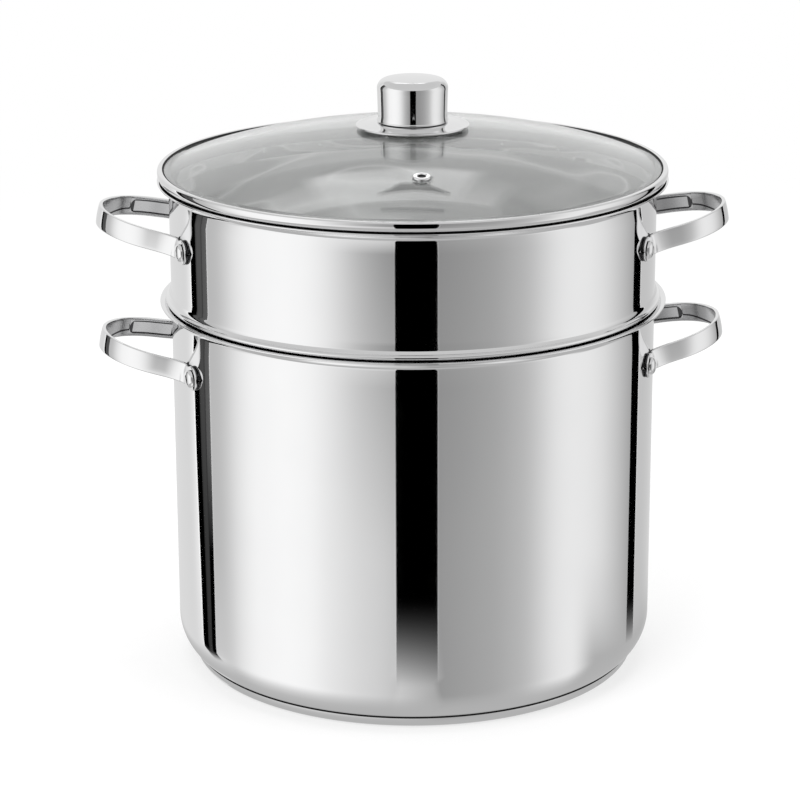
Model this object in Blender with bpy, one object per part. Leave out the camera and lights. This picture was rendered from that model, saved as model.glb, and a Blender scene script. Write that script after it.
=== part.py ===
"""Pasta pot with a strainer insert and a glass lid.

The pot stands on its base at z = 0, centred on the Z axis, with its handles along X.
The insert hangs in the pot's rim and the lid rests on the insert's rim.
Lengths are in metres and angles in degrees.
"""
import math

import bmesh
import bpy
from mathutils import Matrix, Vector

# Pot body, from the underside of the base up
WALL_RADIUS = 0.130
SHEET = 0.0008
POT_HEIGHT = 0.2014
CORNER_RADIUS = 0.023
HEEL_RADIUS = 0.0088

# Flared rim, the same on the pot and on the insert: its reach beyond the wall, the round of its edge
RIM_REACH = 0.006
EDGE_ROUND = 0.0005
FLARE_RADIUS = 0.0047
FLARE_ANGLE = 84.0

# Base: a disc that spreads the heat, closed in by a cap set in from the wall
BASE_INSET = 0.0087
CAP_SHEET = 0.0006
CAP_EDGE_RADIUS = 0.004
CORE_THICKNESS = 0.0029

# Strainer insert, measured from the pot's rim and wall
INSERT_HEIGHT = 0.0656
INSERT_TURN = -4.1
SHOULDER_REACH = 0.003
SHOULDER_ROUND = 0.0011
SHOULDER_CREST = 0.0017
SHOULDER_HEIGHT = 0.0062
BASKET_INSET = 0.006
BASKET_DEPTH = 0.1676
BASKET_CORNER = 0.014
STEP_HEIGHT = 0.0065

# Perforations of the basket
HOLE_RADIUS = 0.004
WALL_ROWS = 5
WALL_ROW_PITCH = 0.025
FIRST_ROW_HEIGHT = 0.028
FLOOR_RINGS = 2
FLOOR_RING_PITCH = 0.036

# Strap handles
STRAP_WIDTH = 0.0106
STRAP_THICKNESS = 0.0022
CROWN_SHARE = 0.40
GROOVE_SHARE = 0.27
GROOVE_DEPTH = 0.0013
GROOVE_START = 50.0
GROOVE_RUN_OUT = 4.0
GROOVE_STOP = 0.002
LOOP_REACH = 0.0375
LOOP_RADIUS = 0.038
LEG_ANGLE = 80.0
FOOT_BEND_RADIUS = 0.006
HANDLE_TILT = 12.1
POT_HANDLE_DROP = 0.0291
INSERT_HANDLE_DROP = 0.0292
FOOT_THICKNESS = 0.0018
FOOT_RADIUS = 0.0065
FOOT_END_SHARES = (0.0, 0.6, 0.95)
RIVET_SPACING = 0.1021

# Rivets
RIVET_SHANK_RADIUS = 0.0024
RIVET_HEAD_RADIUS = 0.0048
RIVET_HEAD_HEIGHT = 0.0024
RIVET_TAIL_RADIUS = 0.0042
RIVET_TAIL_HEIGHT = 0.0011

# Heads of rivets and screw: shares of the radius and of the height
HEAD_SHARES = ((1.0, 0.0), (0.78, 0.72), (0.35, 1.0))

# Lid, measured from the insert's rim
BAND_INSET = 0.0002
BAND_LIFT = 0.0009
BAND_HEIGHT = 0.005
BAND_SHEET = 0.0004
BAND_ROUND = 0.0012
BAND_TUCK = 0.0007
BAND_LIP = 0.0027
SEAT_REACH = 0.0015
SKIRT_DEPTH = 0.0045
SKIRT_PLAY = 0.0006
GLASS_THICKNESS = 0.0036
GLASS_RIM_WIDTH = 0.0034
DOME_RISE = 0.0211
GLASS_HOLE_RADIUS = 0.0035

# Vent eyelet
VENT_DISTANCE = 0.086
VENT_AZIMUTH = -92.3
VENT_BORE_RADIUS = 0.0021
VENT_TUBE_RADIUS = 0.0033
VENT_FLANGE_RADIUS = 0.0047
VENT_FLANGE_HEIGHT = 0.0009

# Knob, its disc and its fastening
KNOB_RADIUS = 0.019
KNOB_WAIST_RADIUS = 0.0184
KNOB_WAIST_HEIGHT = 0.0083
KNOB_HEIGHT = 0.0236
KNOB_SHEET = 0.0012
KNOB_POST_RADIUS = 0.0055
KNOB_SHOULDER_RADIUS = 0.0052
KNOB_SHOULDER_ANGLE = 75.0
KNOB_CROWN = 0.0014
KNOB_CROWN_RADIUS = 0.0057
FLANGE_RADIUS = 0.0302
FLANGE_THICKNESS = 0.0011
FLANGE_SEAT_RADIUS = 0.0155
FLANGE_DROP = 0.0014
GASKET_RADIUS = 0.0135
GASKET_THICKNESS = 0.0012
WASHER_RADIUS = 0.011
WASHER_THICKNESS = 0.0012
SCREW_RADIUS = 0.0025
SCREW_HEAD_RADIUS = 0.005
SCREW_HEAD_HEIGHT = 0.0022
THREAD_DEPTH = 0.013

# Gap between pieces that touch, length of the drills and punches
GAP = 0.0003
DRILL_LENGTH = 0.0064

# Facets of the turned shapes and of the holes, and the angle that shows as an edge
SHELL_FACETS = 40
KNOB_FACETS = 24
WASHER_FACETS = 16
RIVET_FACETS = 8
PUNCH_FACETS = 6
EDGE_ANGLE = 40.0

# Radii that follow from the wall's
RIM_RADIUS = WALL_RADIUS + RIM_REACH
BASE_RADIUS = WALL_RADIUS - BASE_INSET
SHOULDER_RADIUS = WALL_RADIUS + SHOULDER_REACH
BASKET_RADIUS = WALL_RADIUS - BASKET_INSET
BAND_RADIUS = RIM_RADIUS - BAND_INSET

# Other sizes that follow
FLOOR_HEIGHT = CAP_SHEET + CORE_THICKNESS + 2 * GAP
FLARE_DROP = EDGE_ROUND + (FLARE_RADIUS + SHEET / 2) * math.sin(math.radians(FLARE_ANGLE))
FLARE_LINE = WALL_RADIUS + FLARE_RADIUS
SEAT_RADIUS = FLARE_RADIUS + SHEET + GAP
RIVET_HOLE_RADIUS = RIVET_SHANK_RADIUS + GAP
FOOT_LINE = WALL_RADIUS + GAP + FOOT_THICKNESS / 2
RIVET_ANGLE = math.degrees(math.asin(RIVET_SPACING / 2 / FOOT_LINE))
SCREW_HOLE_RADIUS = SCREW_RADIUS + GAP

# The glass is a slice of a ball; its centre lies on the axis below the lid
GLASS_UNDERSIDE = BAND_LIFT + BAND_SHEET + GAP
GLASS_EDGE = BAND_RADIUS - BAND_TUCK - BAND_SHEET - GAP
DOME_RADIUS = GLASS_EDGE - GLASS_RIM_WIDTH
DOME_BALL = (DOME_RADIUS ** 2 + DOME_RISE ** 2) / (2 * DOME_RISE)
DOME_TOP = GLASS_UNDERSIDE + GLASS_THICKNESS + DOME_RISE
DOME_CENTRE = DOME_TOP - DOME_BALL


def clear_scene():
    for thing in list(bpy.data.objects):
        bpy.data.objects.remove(thing, do_unlink=True)


def make_material(name, colour, metallic, roughness, transmission=0.0):
    material = bpy.data.materials.new(name)
    material.use_nodes = True
    shader = material.node_tree.nodes["Principled BSDF"]
    shader.inputs["Base Color"].default_value = (*colour, 1.0)
    shader.inputs["Metallic"].default_value = metallic
    shader.inputs["Roughness"].default_value = roughness
    shader.inputs["Transmission Weight"].default_value = transmission
    return material


def arc(centre_x, centre_z, radius, start, end, steps):
    """Points of an arc from the start angle to the end angle, both ends included."""
    points = []
    for i in range(steps + 1):
        angle = math.radians(start + (end - start) * i / steps)
        points.append((centre_x + radius * math.cos(angle), centre_z + radius * math.sin(angle)))
    return points


def inside_of(outer, thickness):
    """The other face of a sheet: the outline moved to its left by the sheet's thickness."""
    points = [Vector(point) for point in outer]
    sides = []
    for start, end in zip(points, points[1:]):
        along = (end - start).normalized()
        sides.append(Vector((-along.y, along.x)))
    inner = []
    for i, point in enumerate(points):
        before = sides[max(i - 1, 0)]
        after = sides[min(i, len(sides) - 1)]
        corner = (before + after).normalized()
        inner.append(tuple(point + corner * thickness / corner.dot(after)))
    return inner


def turn(name, outline, facets, closed=True):
    """Mesh turned from an outline of (radius, height) points.

    A closed outline makes a ring. An open one has flat discs over its two ends.
    """
    bm = bmesh.new()
    verts = [bm.verts.new((radius, 0, height)) for radius, height in outline]
    edges = [bm.edges.new(pair) for pair in zip(verts, verts[1:])]
    if closed:
        edges.append(bm.edges.new((verts[-1], verts[0])))
    bmesh.ops.spin(bm, geom=verts + edges, axis=(0, 0, 1), cent=(0, 0, 0),
                   angle=math.tau, steps=facets, use_merge=True)
    if not closed:
        bmesh.ops.holes_fill(bm, edges=[edge for edge in bm.edges if edge.is_boundary])
    return finish_mesh(name, bm)


def finish_mesh(name, bm):
    """Faces pointing out, soft shading with sharp edges kept, as mesh data."""
    bmesh.ops.recalc_face_normals(bm, faces=bm.faces)
    mesh = bpy.data.meshes.new(name)
    bm.to_mesh(mesh)
    bm.free()
    mesh.shade_smooth()
    mesh.set_sharp_from_angle(angle=math.radians(EDGE_ANGLE))
    return mesh


def place(name, mesh, material, parent, location=(0, 0, 0), rotation=(0, 0, 0)):
    """One object for one piece, carried by the empty of its body."""
    piece = bpy.data.objects.new(name, mesh)
    if not mesh.materials:
        mesh.materials.append(material)
    piece.location = location
    piece.rotation_euler = rotation
    piece.parent = parent
    bpy.context.collection.objects.link(piece)
    return piece


def add_empty(name, height, parent=None):
    empty = bpy.data.objects.new(name, None)
    empty.location = (0, 0, height)
    empty.parent = parent
    bpy.context.collection.objects.link(empty)
    return empty


def rods(name, placings, radius, facets, parent):
    """A cutter made of prisms, one along the Z axis of each placing."""
    bm = bmesh.new()
    for placing in placings:
        bmesh.ops.create_cone(bm, cap_ends=True, segments=facets, radius1=radius, radius2=radius,
                              depth=DRILL_LENGTH, matrix=placing)
    cutter = place(name, finish_mesh(name, bm), None, parent)
    cutter.display_type = "WIRE"
    cutter.hide_render = True
    return cutter


def cut(piece, cutter):
    hole = piece.modifiers.new(cutter.name, "BOOLEAN")
    hole.operation = "DIFFERENCE"
    hole.solver = "EXACT"
    hole.object = cutter


def baked(piece):
    """The piece's mesh with its modifiers applied, to share among copies."""
    depsgraph = bpy.context.evaluated_depsgraph_get()
    mesh = bpy.data.meshes.new_from_object(piece.evaluated_get(depsgraph))
    mesh.name = piece.name
    return mesh


def rim(top):
    """Flare, rounded edge and inner flare, from the outer wall over the rim to the inner wall."""
    flare_z = top - FLARE_DROP
    outer = arc(FLARE_LINE, flare_z, FLARE_RADIUS, 180, 180 - FLARE_ANGLE, 2)
    edge = arc(RIM_RADIUS - EDGE_ROUND, top - EDGE_ROUND, EDGE_ROUND, -90, 90, 2)
    inner = arc(FLARE_LINE, flare_z, FLARE_RADIUS + SHEET, 180 - FLARE_ANGLE, 180, 3)
    return outer + edge + inner


def pot_outline():
    """From the underside of the floor round the corner, up the wall, over the rim and back inside."""
    share = (BASE_RADIUS - WALL_RADIUS + CORNER_RADIUS) / CORNER_RADIUS
    split = math.degrees(math.acos(share))
    offset = CORNER_RADIUS - HEEL_RADIUS
    corner_x = WALL_RADIUS - CORNER_RADIUS
    heel_z = FLOOR_HEIGHT + HEEL_RADIUS
    corner_z = heel_z + offset * math.sin(math.radians(split))
    heel = arc(corner_x + offset * share, heel_z, HEEL_RADIUS, -90, -split, 2)
    corner = arc(corner_x, corner_z, CORNER_RADIUS, -split, 0, 3)
    below = heel + corner[1:]
    return below + rim(POT_HEIGHT) + list(reversed(inside_of(below, SHEET)))


def corner_at_cap():
    """Height and steepness of the pot's corner where the cap's edge meets it."""
    share = (BASE_RADIUS - WALL_RADIUS + CORNER_RADIUS) / CORNER_RADIUS
    drop = math.sqrt(1 - share ** 2)
    height = FLOOR_HEIGHT + HEEL_RADIUS - HEEL_RADIUS * drop
    return height, share / drop


def build_base(materials, pot):
    """The cap is a shallow dish whose edge closes on the pot's corner; the disc lies in it."""
    height, slope = corner_at_cap()
    edge_top = height - GAP
    round_x = BASE_RADIUS - CAP_EDGE_RADIUS
    inner_round = CAP_EDGE_RADIUS - CAP_SHEET
    outside = arc(round_x, CAP_EDGE_RADIUS, CAP_EDGE_RADIUS, -90, 0, 3)
    inside = arc(round_x, CAP_EDGE_RADIUS, inner_round, 0, -90, 2)
    edge = [(BASE_RADIUS, edge_top), (BASE_RADIUS - CAP_SHEET, edge_top - CAP_SHEET * slope)]
    cap = turn("base_cap", outside + edge + inside, SHELL_FACETS, closed=False)
    place("base_cap", cap, materials["steel"], pot)

    core_top = CAP_SHEET + GAP + CORE_THICKNESS
    below = arc(round_x, CAP_EDGE_RADIUS, inner_round - GAP, -90, -45, 1)
    side = [(below[-1][0], core_top)]
    core = turn("base_core", below + side, SHELL_FACETS, closed=False)
    place("base_core", core, materials["aluminium"], pot)


def shoulder_outline():
    """Outer face from the insert's wall down over the shoulder and along the pot's flare.

    The hollow touches the wall and the shoulder's round. Below the round a straight slope
    touches it and the arc that follows the flare.
    """
    crest_x = SHOULDER_RADIUS - SHOULDER_ROUND
    rise = SHOULDER_HEIGHT - SHOULDER_CREST
    across = crest_x - WALL_RADIUS
    hollow = (across ** 2 + rise ** 2 - SHOULDER_ROUND ** 2) / (2 * (across + SHOULDER_ROUND))
    tilt = math.degrees(math.atan2(rise, hollow - across))
    to_crest = Vector((crest_x - FLARE_LINE, SHOULDER_CREST + FLARE_DROP))
    lean = math.acos((SEAT_RADIUS + SHOULDER_ROUND) / to_crest.length)
    touch = math.degrees(math.atan2(to_crest.y, to_crest.x) + lean)
    down = arc(WALL_RADIUS + hollow, SHOULDER_HEIGHT, hollow, 180, 180 + tilt, 2)
    crest = arc(crest_x, SHOULDER_CREST, SHOULDER_ROUND, tilt, touch - 180, 2)
    seat = arc(FLARE_LINE, -FLARE_DROP, SEAT_RADIUS, touch, 180, 2)
    return down + crest[1:] + seat


def insert_outline():
    """From the middle of the basket's underside up the outside and down the inside again."""
    bottom = -BASKET_DEPTH
    corner = arc(BASKET_RADIUS - BASKET_CORNER, bottom + BASKET_CORNER, BASKET_CORNER, -90, 0, 3)
    step = [(BASKET_RADIUS, -FLARE_DROP - STEP_HEIGHT)]
    outer = corner + step + list(reversed(shoulder_outline()))
    return outer + rim(INSERT_HEIGHT) + list(reversed(inside_of(outer, SHEET)))


def basket_holes(insert):
    """Six sided punches: staggered rows round the wall, rings across the floor."""
    bottom = -BASKET_DEPTH
    panel = 360 / SHELL_FACETS
    placings = []
    for row in range(WALL_ROWS):
        height = bottom + FIRST_ROW_HEIGHT + row * WALL_ROW_PITCH
        for column in range(row % 2, SHELL_FACETS, 2):
            spin = Matrix.Rotation(math.radians((column + 0.5) * panel), 4, "Z")
            lay = Matrix.Rotation(math.radians(90), 4, "Y")
            placings.append(spin @ Matrix.Translation((BASKET_RADIUS, 0, height)) @ lay)
    placings.append(Matrix.Translation((0, 0, bottom)))
    for ring in range(1, FLOOR_RINGS + 1):
        for step in range(6 * ring):
            spin = Matrix.Rotation(math.tau * step / (6 * ring), 4, "Z")
            placings.append(spin @ Matrix.Translation((ring * FLOOR_RING_PITCH, 0, bottom)))
    return rods("basket_punch", placings, HOLE_RADIUS, PUNCH_FACETS, insert)


def rivet_places(turn_angle):
    """The four rivets of one pair of handles: name, angle round the wall."""
    return {
        "right_front": turn_angle - RIVET_ANGLE,
        "right_rear": turn_angle + RIVET_ANGLE,
        "left_rear": turn_angle + 180 - RIVET_ANGLE,
        "left_front": turn_angle + 180 + RIVET_ANGLE,
    }


def radial(angle, radius, height):
    """Placing whose Z axis points out from the pot's axis at the given angle."""
    spin = Matrix.Rotation(math.radians(angle), 4, "Z")
    lay = Matrix.Rotation(math.radians(90), 4, "Y")
    return spin @ Matrix.Translation((radius, 0, height)) @ lay


def wall_holes(name, turn_angle, height, parent):
    placings = [radial(angle, WALL_RADIUS, height) for angle in rivet_places(turn_angle).values()]
    return rods(name, placings, RIVET_HOLE_RADIUS, RIVET_FACETS, parent)


def handle_stations():
    """Half a handle, from the middle of its loop to the end of its foot.

    Each station is (x, y, raised share, width, thickness, groove depth), seen from above.
    """
    centre_x = WALL_RADIUS + LOOP_REACH - LOOP_RADIUS
    leg = math.radians(LEG_ANGLE)
    out = Vector((math.cos(leg), math.sin(leg)))
    back = Vector((-math.sin(leg), math.cos(leg)))
    leg_start = Vector((centre_x, 0)) + LOOP_RADIUS * out

    # The bend touches the leg and the line of the foot, which is a circle round the pot's axis
    bend_reach = FOOT_LINE + FOOT_BEND_RADIUS
    first = leg_start + FOOT_BEND_RADIUS * out
    half = first.dot(back)
    length = -half - math.sqrt(half ** 2 - first.length_squared + bend_reach ** 2)
    bend = first + length * back
    bend_angle = math.degrees(math.atan2(bend.y, bend.x))

    stations = []
    for x, y in arc(centre_x, 0, LOOP_RADIUS, 0, GROOVE_START, 4):
        stations.append((x, y, 1, STRAP_WIDTH, STRAP_THICKNESS, 0))
    for x, y in arc(centre_x, 0, LOOP_RADIUS, GROOVE_START + GROOVE_RUN_OUT, LEG_ANGLE, 2):
        stations.append((x, y, 1, STRAP_WIDTH, STRAP_THICKNESS, GROOVE_DEPTH))
    leg_end = leg_start + (length - GROOVE_STOP) * back
    stations.append((*leg_end, 1, STRAP_WIDTH, STRAP_THICKNESS, GROOVE_DEPTH))
    turns = arc(bend.x, bend.y, FOOT_BEND_RADIUS, 180 + LEG_ANGLE, 180 + bend_angle, 2)
    for share, (x, y) in zip((1, 0.5, 0), turns):
        thickness = FOOT_THICKNESS + (STRAP_THICKNESS - FOOT_THICKNESS) * share
        stations.append((x, y, share, STRAP_WIDTH, thickness, 0))
    for along in FOOT_END_SHARES:
        angle = math.radians(RIVET_ANGLE) + along * FOOT_RADIUS / FOOT_LINE
        width = 2 * FOOT_RADIUS * math.sqrt(1 - along ** 2)
        x = FOOT_LINE * math.cos(angle)
        y = FOOT_LINE * math.sin(angle)
        stations.append((x, y, 0, width, FOOT_THICKNESS, 0))
    return stations


def strap_section(width, thickness, groove):
    """Crowned outer face and hollow inner face: (outward, upward) points."""
    half = thickness / 2
    edge = width / 2
    upper = [(half, CROWN_SHARE * width), (-half, edge), (groove - half, GROOVE_SHARE * width)]
    lower = [(outward, -upward) for outward, upward in reversed(upper)]
    return upper + lower


def handle_mesh():
    """The strap's section carried along the loop, its legs and its feet."""
    half = handle_stations()
    mirrored = [(x, -y, *rest) for x, y, *rest in half[1:]]
    stations = list(reversed(mirrored)) + half
    tilt = math.radians(HANDLE_TILT)
    pivot = FOOT_LINE * math.cos(math.radians(RIVET_ANGLE))
    centres = [Vector((x, y, raised * math.tan(tilt) * (x - pivot))) for x, y, raised, *_ in stations]

    bm = bmesh.new()
    rings = []
    last = len(stations) - 1
    for i, (_, _, raised, width, thickness, groove) in enumerate(stations):
        along = (centres[min(i + 1, last)] - centres[max(i - 1, 0)]).normalized()
        up = Vector((-math.sin(tilt) * raised, 0, math.cos(tilt * raised)))
        outward = along.cross(up).normalized()
        upward = outward.cross(along)
        ring = [bm.verts.new(centres[i] + outward * n + upward * u)
                for n, u in strap_section(width, thickness, groove)]
        rings.append(ring)
    for near, far in zip(rings, rings[1:]):
        for k in range(len(near)):
            following = (k + 1) % len(near)
            bm.faces.new((near[k], near[following], far[following], far[k]))
    bmesh.ops.triangulate(bm, faces=bm.faces)
    bm.faces.new(rings[0])
    bm.faces.new(rings[-1])
    return finish_mesh("strap_handle", bm)


def drilled_handle(materials):
    """The handle's mesh with the rivets' holes through its feet."""
    blank = place("handle_blank", handle_mesh(), materials["steel"], None)
    placings = [radial(side * RIVET_ANGLE, FOOT_LINE, 0) for side in (-1, 1)]
    drill = rods("handle_drill", placings, RIVET_HOLE_RADIUS, RIVET_FACETS, None)
    cut(blank, drill)
    mesh = baked(blank)
    bpy.data.objects.remove(blank, do_unlink=True)
    bpy.data.objects.remove(drill, do_unlink=True)
    return mesh


def domed(radius, seat, height):
    """Outline of a head from the edge of its seat to its flat top; a negative height points down."""
    return [(share * radius, seat + rise * height) for share, rise in HEAD_SHARES]


def rivet_mesh():
    """Domed head outside the foot, shank through foot and wall, flattened tail inside the wall."""
    head = FOOT_LINE + FOOT_THICKNESS / 2 + GAP
    tail = WALL_RADIUS - SHEET - 2 * GAP
    shank = [(RIVET_SHANK_RADIUS, tail), (RIVET_SHANK_RADIUS, head)]
    outline = list(reversed(domed(RIVET_TAIL_RADIUS, tail, -RIVET_TAIL_HEIGHT))) + shank
    outline += domed(RIVET_HEAD_RADIUS, head, RIVET_HEAD_HEIGHT)
    return turn("rivet", outline, RIVET_FACETS, closed=False)


def add_handles(prefix, meshes, materials, parent, turn_angle, height):
    """Two strap handles and their four rivets at one height round a wall."""
    for side, angle in (("right", turn_angle), ("left", turn_angle + 180)):
        place(prefix + "_" + side + "_handle", meshes["handle"], materials["steel"], parent,
              location=(0, 0, height), rotation=(0, 0, math.radians(angle)))
    for side, angle in rivet_places(turn_angle).items():
        place(prefix + "_rivet_" + side, meshes["rivet"], materials["steel"], parent,
              location=(0, 0, height), rotation=(0, math.radians(90), math.radians(angle)))


def build_pot(meshes, materials, pot):
    height = POT_HEIGHT - POT_HANDLE_DROP
    shell = place("pot_shell", turn("pot_shell", pot_outline(), SHELL_FACETS, closed=False),
                  materials["steel"], pot)
    cut(shell, wall_holes("pot_drill", 0, height, pot))
    build_base(materials, pot)
    add_handles("pot", meshes, materials, pot, 0, height)


def build_insert(meshes, materials, insert):
    height = INSERT_HEIGHT - INSERT_HANDLE_DROP
    shell = place("insert_shell", turn("insert_shell", insert_outline(), SHELL_FACETS, closed=False),
                  materials["steel"], insert)
    cut(shell, wall_holes("insert_drill", INSERT_TURN, height, insert))
    cut(shell, basket_holes(insert))
    add_handles("insert", meshes, materials, insert, INSERT_TURN, height)


def dome(radius_of_ball, out_to, back=False):
    """Points of the glass's face from the screw hole out to a radius, or the other way."""
    start = math.degrees(math.acos(GLASS_HOLE_RADIUS / radius_of_ball))
    end = math.degrees(math.acos(out_to / radius_of_ball))
    points = arc(0, DOME_CENTRE, radius_of_ball, start, end, 5)
    return list(reversed(points)) if back else points


def build_glass(materials, lid):
    under_ball = DOME_BALL - GLASS_THICKNESS
    under_out = math.sqrt(under_ball ** 2 - (GLASS_UNDERSIDE - DOME_CENTRE) ** 2)
    outline = dome(DOME_BALL, DOME_RADIUS)
    outline += [(GLASS_EDGE, GLASS_UNDERSIDE + GLASS_THICKNESS), (GLASS_EDGE, GLASS_UNDERSIDE)]
    outline += dome(under_ball, under_out, back=True)
    glass = place("lid_glass", turn("lid_glass", outline, SHELL_FACETS), materials["glass"], lid)

    middle = DOME_BALL - GLASS_THICKNESS / 2
    lean = math.asin(VENT_DISTANCE / DOME_BALL)
    place_of_vent = (Matrix.Translation((0, 0, DOME_CENTRE))
                     @ Matrix.Rotation(math.radians(VENT_AZIMUTH), 4, "Z")
                     @ Matrix.Rotation(lean, 4, "Y")
                     @ Matrix.Translation((0, 0, middle)))
    cut(glass, rods("vent_drill", [place_of_vent], VENT_TUBE_RADIUS + GAP, WASHER_FACETS, lid))

    seat = GLASS_THICKNESS / 2 + GAP
    top = seat + VENT_FLANGE_HEIGHT
    flange = [(VENT_TUBE_RADIUS, seat), (VENT_FLANGE_RADIUS, seat),
              (VENT_FLANGE_RADIUS - VENT_FLANGE_HEIGHT, top), (VENT_BORE_RADIUS, top)]
    outline = flange + [(radius, -height) for radius, height in reversed(flange)]
    eyelet = place("vent_eyelet", turn("vent_eyelet", outline, WASHER_FACETS), materials["steel"], lid)
    eyelet.matrix_local = place_of_vent


def build_band(materials, lid):
    """Channel folded round the glass's edge over a seat and a skirt inside the insert's rim.

    The seat's outer corner rests on the rim's inner flare, so that the channel stands clear of
    the rim's edge.
    """
    inside = BAND_RADIUS - BAND_SHEET
    tucked = BAND_RADIUS - BAND_TUCK
    top = BAND_LIFT + BAND_HEIGHT
    lip = BAND_RADIUS - BAND_LIP
    skirt = WALL_RADIUS - SHEET - SKIRT_PLAY
    seat_x = WALL_RADIUS + SEAT_REACH
    seat_z = math.sqrt(SEAT_RADIUS ** 2 - (FLARE_LINE - seat_x) ** 2) - FLARE_DROP
    outline = [
        (tucked, BAND_LIFT),
        (BAND_RADIUS, BAND_LIFT + BAND_ROUND),
        (BAND_RADIUS, top - BAND_ROUND),
        (BAND_RADIUS - BAND_ROUND, top),
        (lip, top),
        (lip, top - BAND_SHEET),
        (BAND_RADIUS - BAND_ROUND, top - BAND_SHEET),
        (inside, top - BAND_ROUND),
        (tucked - BAND_SHEET, BAND_LIFT + BAND_SHEET),
        (skirt - BAND_SHEET, BAND_LIFT + BAND_SHEET),
        (skirt - BAND_SHEET, -SKIRT_DEPTH),
        (skirt, -SKIRT_DEPTH),
        (skirt, seat_z),
        (seat_x, seat_z),
        (seat_x, BAND_LIFT),
    ]
    place("lid_band", turn("lid_band", outline, SHELL_FACETS), materials["steel"], lid)


def build_knob(materials, lid):
    """Knob, disc and gasket above the glass; gasket, washer and screw below it."""
    gasket_bottom = DOME_TOP + GAP
    disc_bottom = gasket_bottom + GASKET_THICKNESS + GAP
    disc_top = disc_bottom + FLANGE_THICKNESS
    knob_bottom = disc_top + GAP
    knob_top = knob_bottom + KNOB_HEIGHT

    def washer(name, bottom, thickness, radius, material):
        outline = [(SCREW_HOLE_RADIUS, bottom), (radius, bottom),
                   (radius, bottom + thickness), (SCREW_HOLE_RADIUS, bottom + thickness)]
        place(name, turn(name, outline, WASHER_FACETS), materials[material], lid)

    washer("upper_gasket", gasket_bottom, GASKET_THICKNESS, GASKET_RADIUS, "silicone")

    edge_bottom = disc_bottom - FLANGE_DROP
    disc = [
        (SCREW_HOLE_RADIUS, disc_bottom),
        (FLANGE_SEAT_RADIUS, disc_bottom),
        (FLANGE_RADIUS - FLANGE_THICKNESS / 2, edge_bottom),
        (FLANGE_RADIUS, edge_bottom + FLANGE_THICKNESS / 2),
        (FLANGE_RADIUS - FLANGE_THICKNESS / 2, edge_bottom + FLANGE_THICKNESS),
        (FLANGE_SEAT_RADIUS, disc_top),
        (SCREW_HOLE_RADIUS, disc_top),
    ]
    place("knob_flange", turn("knob_flange", disc, KNOB_FACETS), materials["steel"], lid)

    shoulder_x = KNOB_RADIUS - KNOB_SHOULDER_RADIUS
    shoulder_z = knob_top - KNOB_CROWN - KNOB_SHOULDER_RADIUS
    waist_z = knob_bottom + KNOB_WAIST_HEIGHT
    skin = [(KNOB_RADIUS - KNOB_SHEET / 2, knob_bottom), (KNOB_RADIUS, knob_bottom + KNOB_SHEET / 2),
            (KNOB_WAIST_RADIUS, waist_z)]
    skin += arc(shoulder_x, shoulder_z, KNOB_SHOULDER_RADIUS, 0, KNOB_SHOULDER_ANGLE, 3)
    crown = [(KNOB_CROWN_RADIUS, knob_top)]
    hollow = [
        (KNOB_POST_RADIUS, knob_top - 2 * KNOB_SHEET),
        (shoulder_x, shoulder_z + KNOB_SHOULDER_RADIUS - KNOB_SHEET),
        (KNOB_WAIST_RADIUS - KNOB_SHEET, shoulder_z),
        (KNOB_WAIST_RADIUS - KNOB_SHEET, waist_z),
    ]
    post = [(SCREW_HOLE_RADIUS, knob_bottom + THREAD_DEPTH), (SCREW_HOLE_RADIUS, knob_bottom),
            (KNOB_POST_RADIUS, knob_bottom)]
    outline = post + hollow + skin + crown
    place("knob", turn("knob", outline, KNOB_FACETS, closed=False), materials["steel"], lid)

    under = DOME_TOP - GLASS_THICKNESS
    sag = under - DOME_CENTRE - math.sqrt((DOME_BALL - GLASS_THICKNESS) ** 2 - WASHER_RADIUS ** 2)
    gasket_low = under - sag - GAP - GASKET_THICKNESS
    washer_low = gasket_low - GAP - WASHER_THICKNESS
    washer("lower_gasket", gasket_low, GASKET_THICKNESS, WASHER_RADIUS, "silicone")
    washer("lower_washer", washer_low, WASHER_THICKNESS, WASHER_RADIUS, "steel")

    head_top = washer_low - GAP
    shank = [(SCREW_RADIUS, head_top), (SCREW_RADIUS, knob_bottom + THREAD_DEPTH - GAP)]
    screw = list(reversed(domed(SCREW_HEAD_RADIUS, head_top, -SCREW_HEAD_HEIGHT))) + shank
    place("knob_screw", turn("knob_screw", screw, WASHER_FACETS, closed=False), materials["steel"], lid)


def main():
    clear_scene()
    materials = {
        "steel": make_material("polished_steel", (0.78, 0.78, 0.78), 1.0, 0.05),
        "aluminium": make_material("aluminium", (0.80, 0.80, 0.82), 1.0, 0.35),
        "glass": make_material("tempered_glass", (0.95, 0.97, 0.96), 0.0, 0.02, transmission=1.0),
        "silicone": make_material("silicone", (0.75, 0.75, 0.73), 0.0, 0.6),
    }
    pot = add_empty("pot", 0)
    insert = add_empty("insert", POT_HEIGHT, pot)
    lid = add_empty("lid", INSERT_HEIGHT, insert)
    meshes = {"handle": drilled_handle(materials), "rivet": rivet_mesh()}
    build_pot(meshes, materials, pot)
    build_insert(meshes, materials, insert)
    build_glass(materials, lid)
    build_band(materials, lid)
    build_knob(materials, lid)


main()
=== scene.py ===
import math

import bpy
from mathutils import Matrix, Vector
from mathutils.geometry import delaunay_2d_cdt


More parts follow.
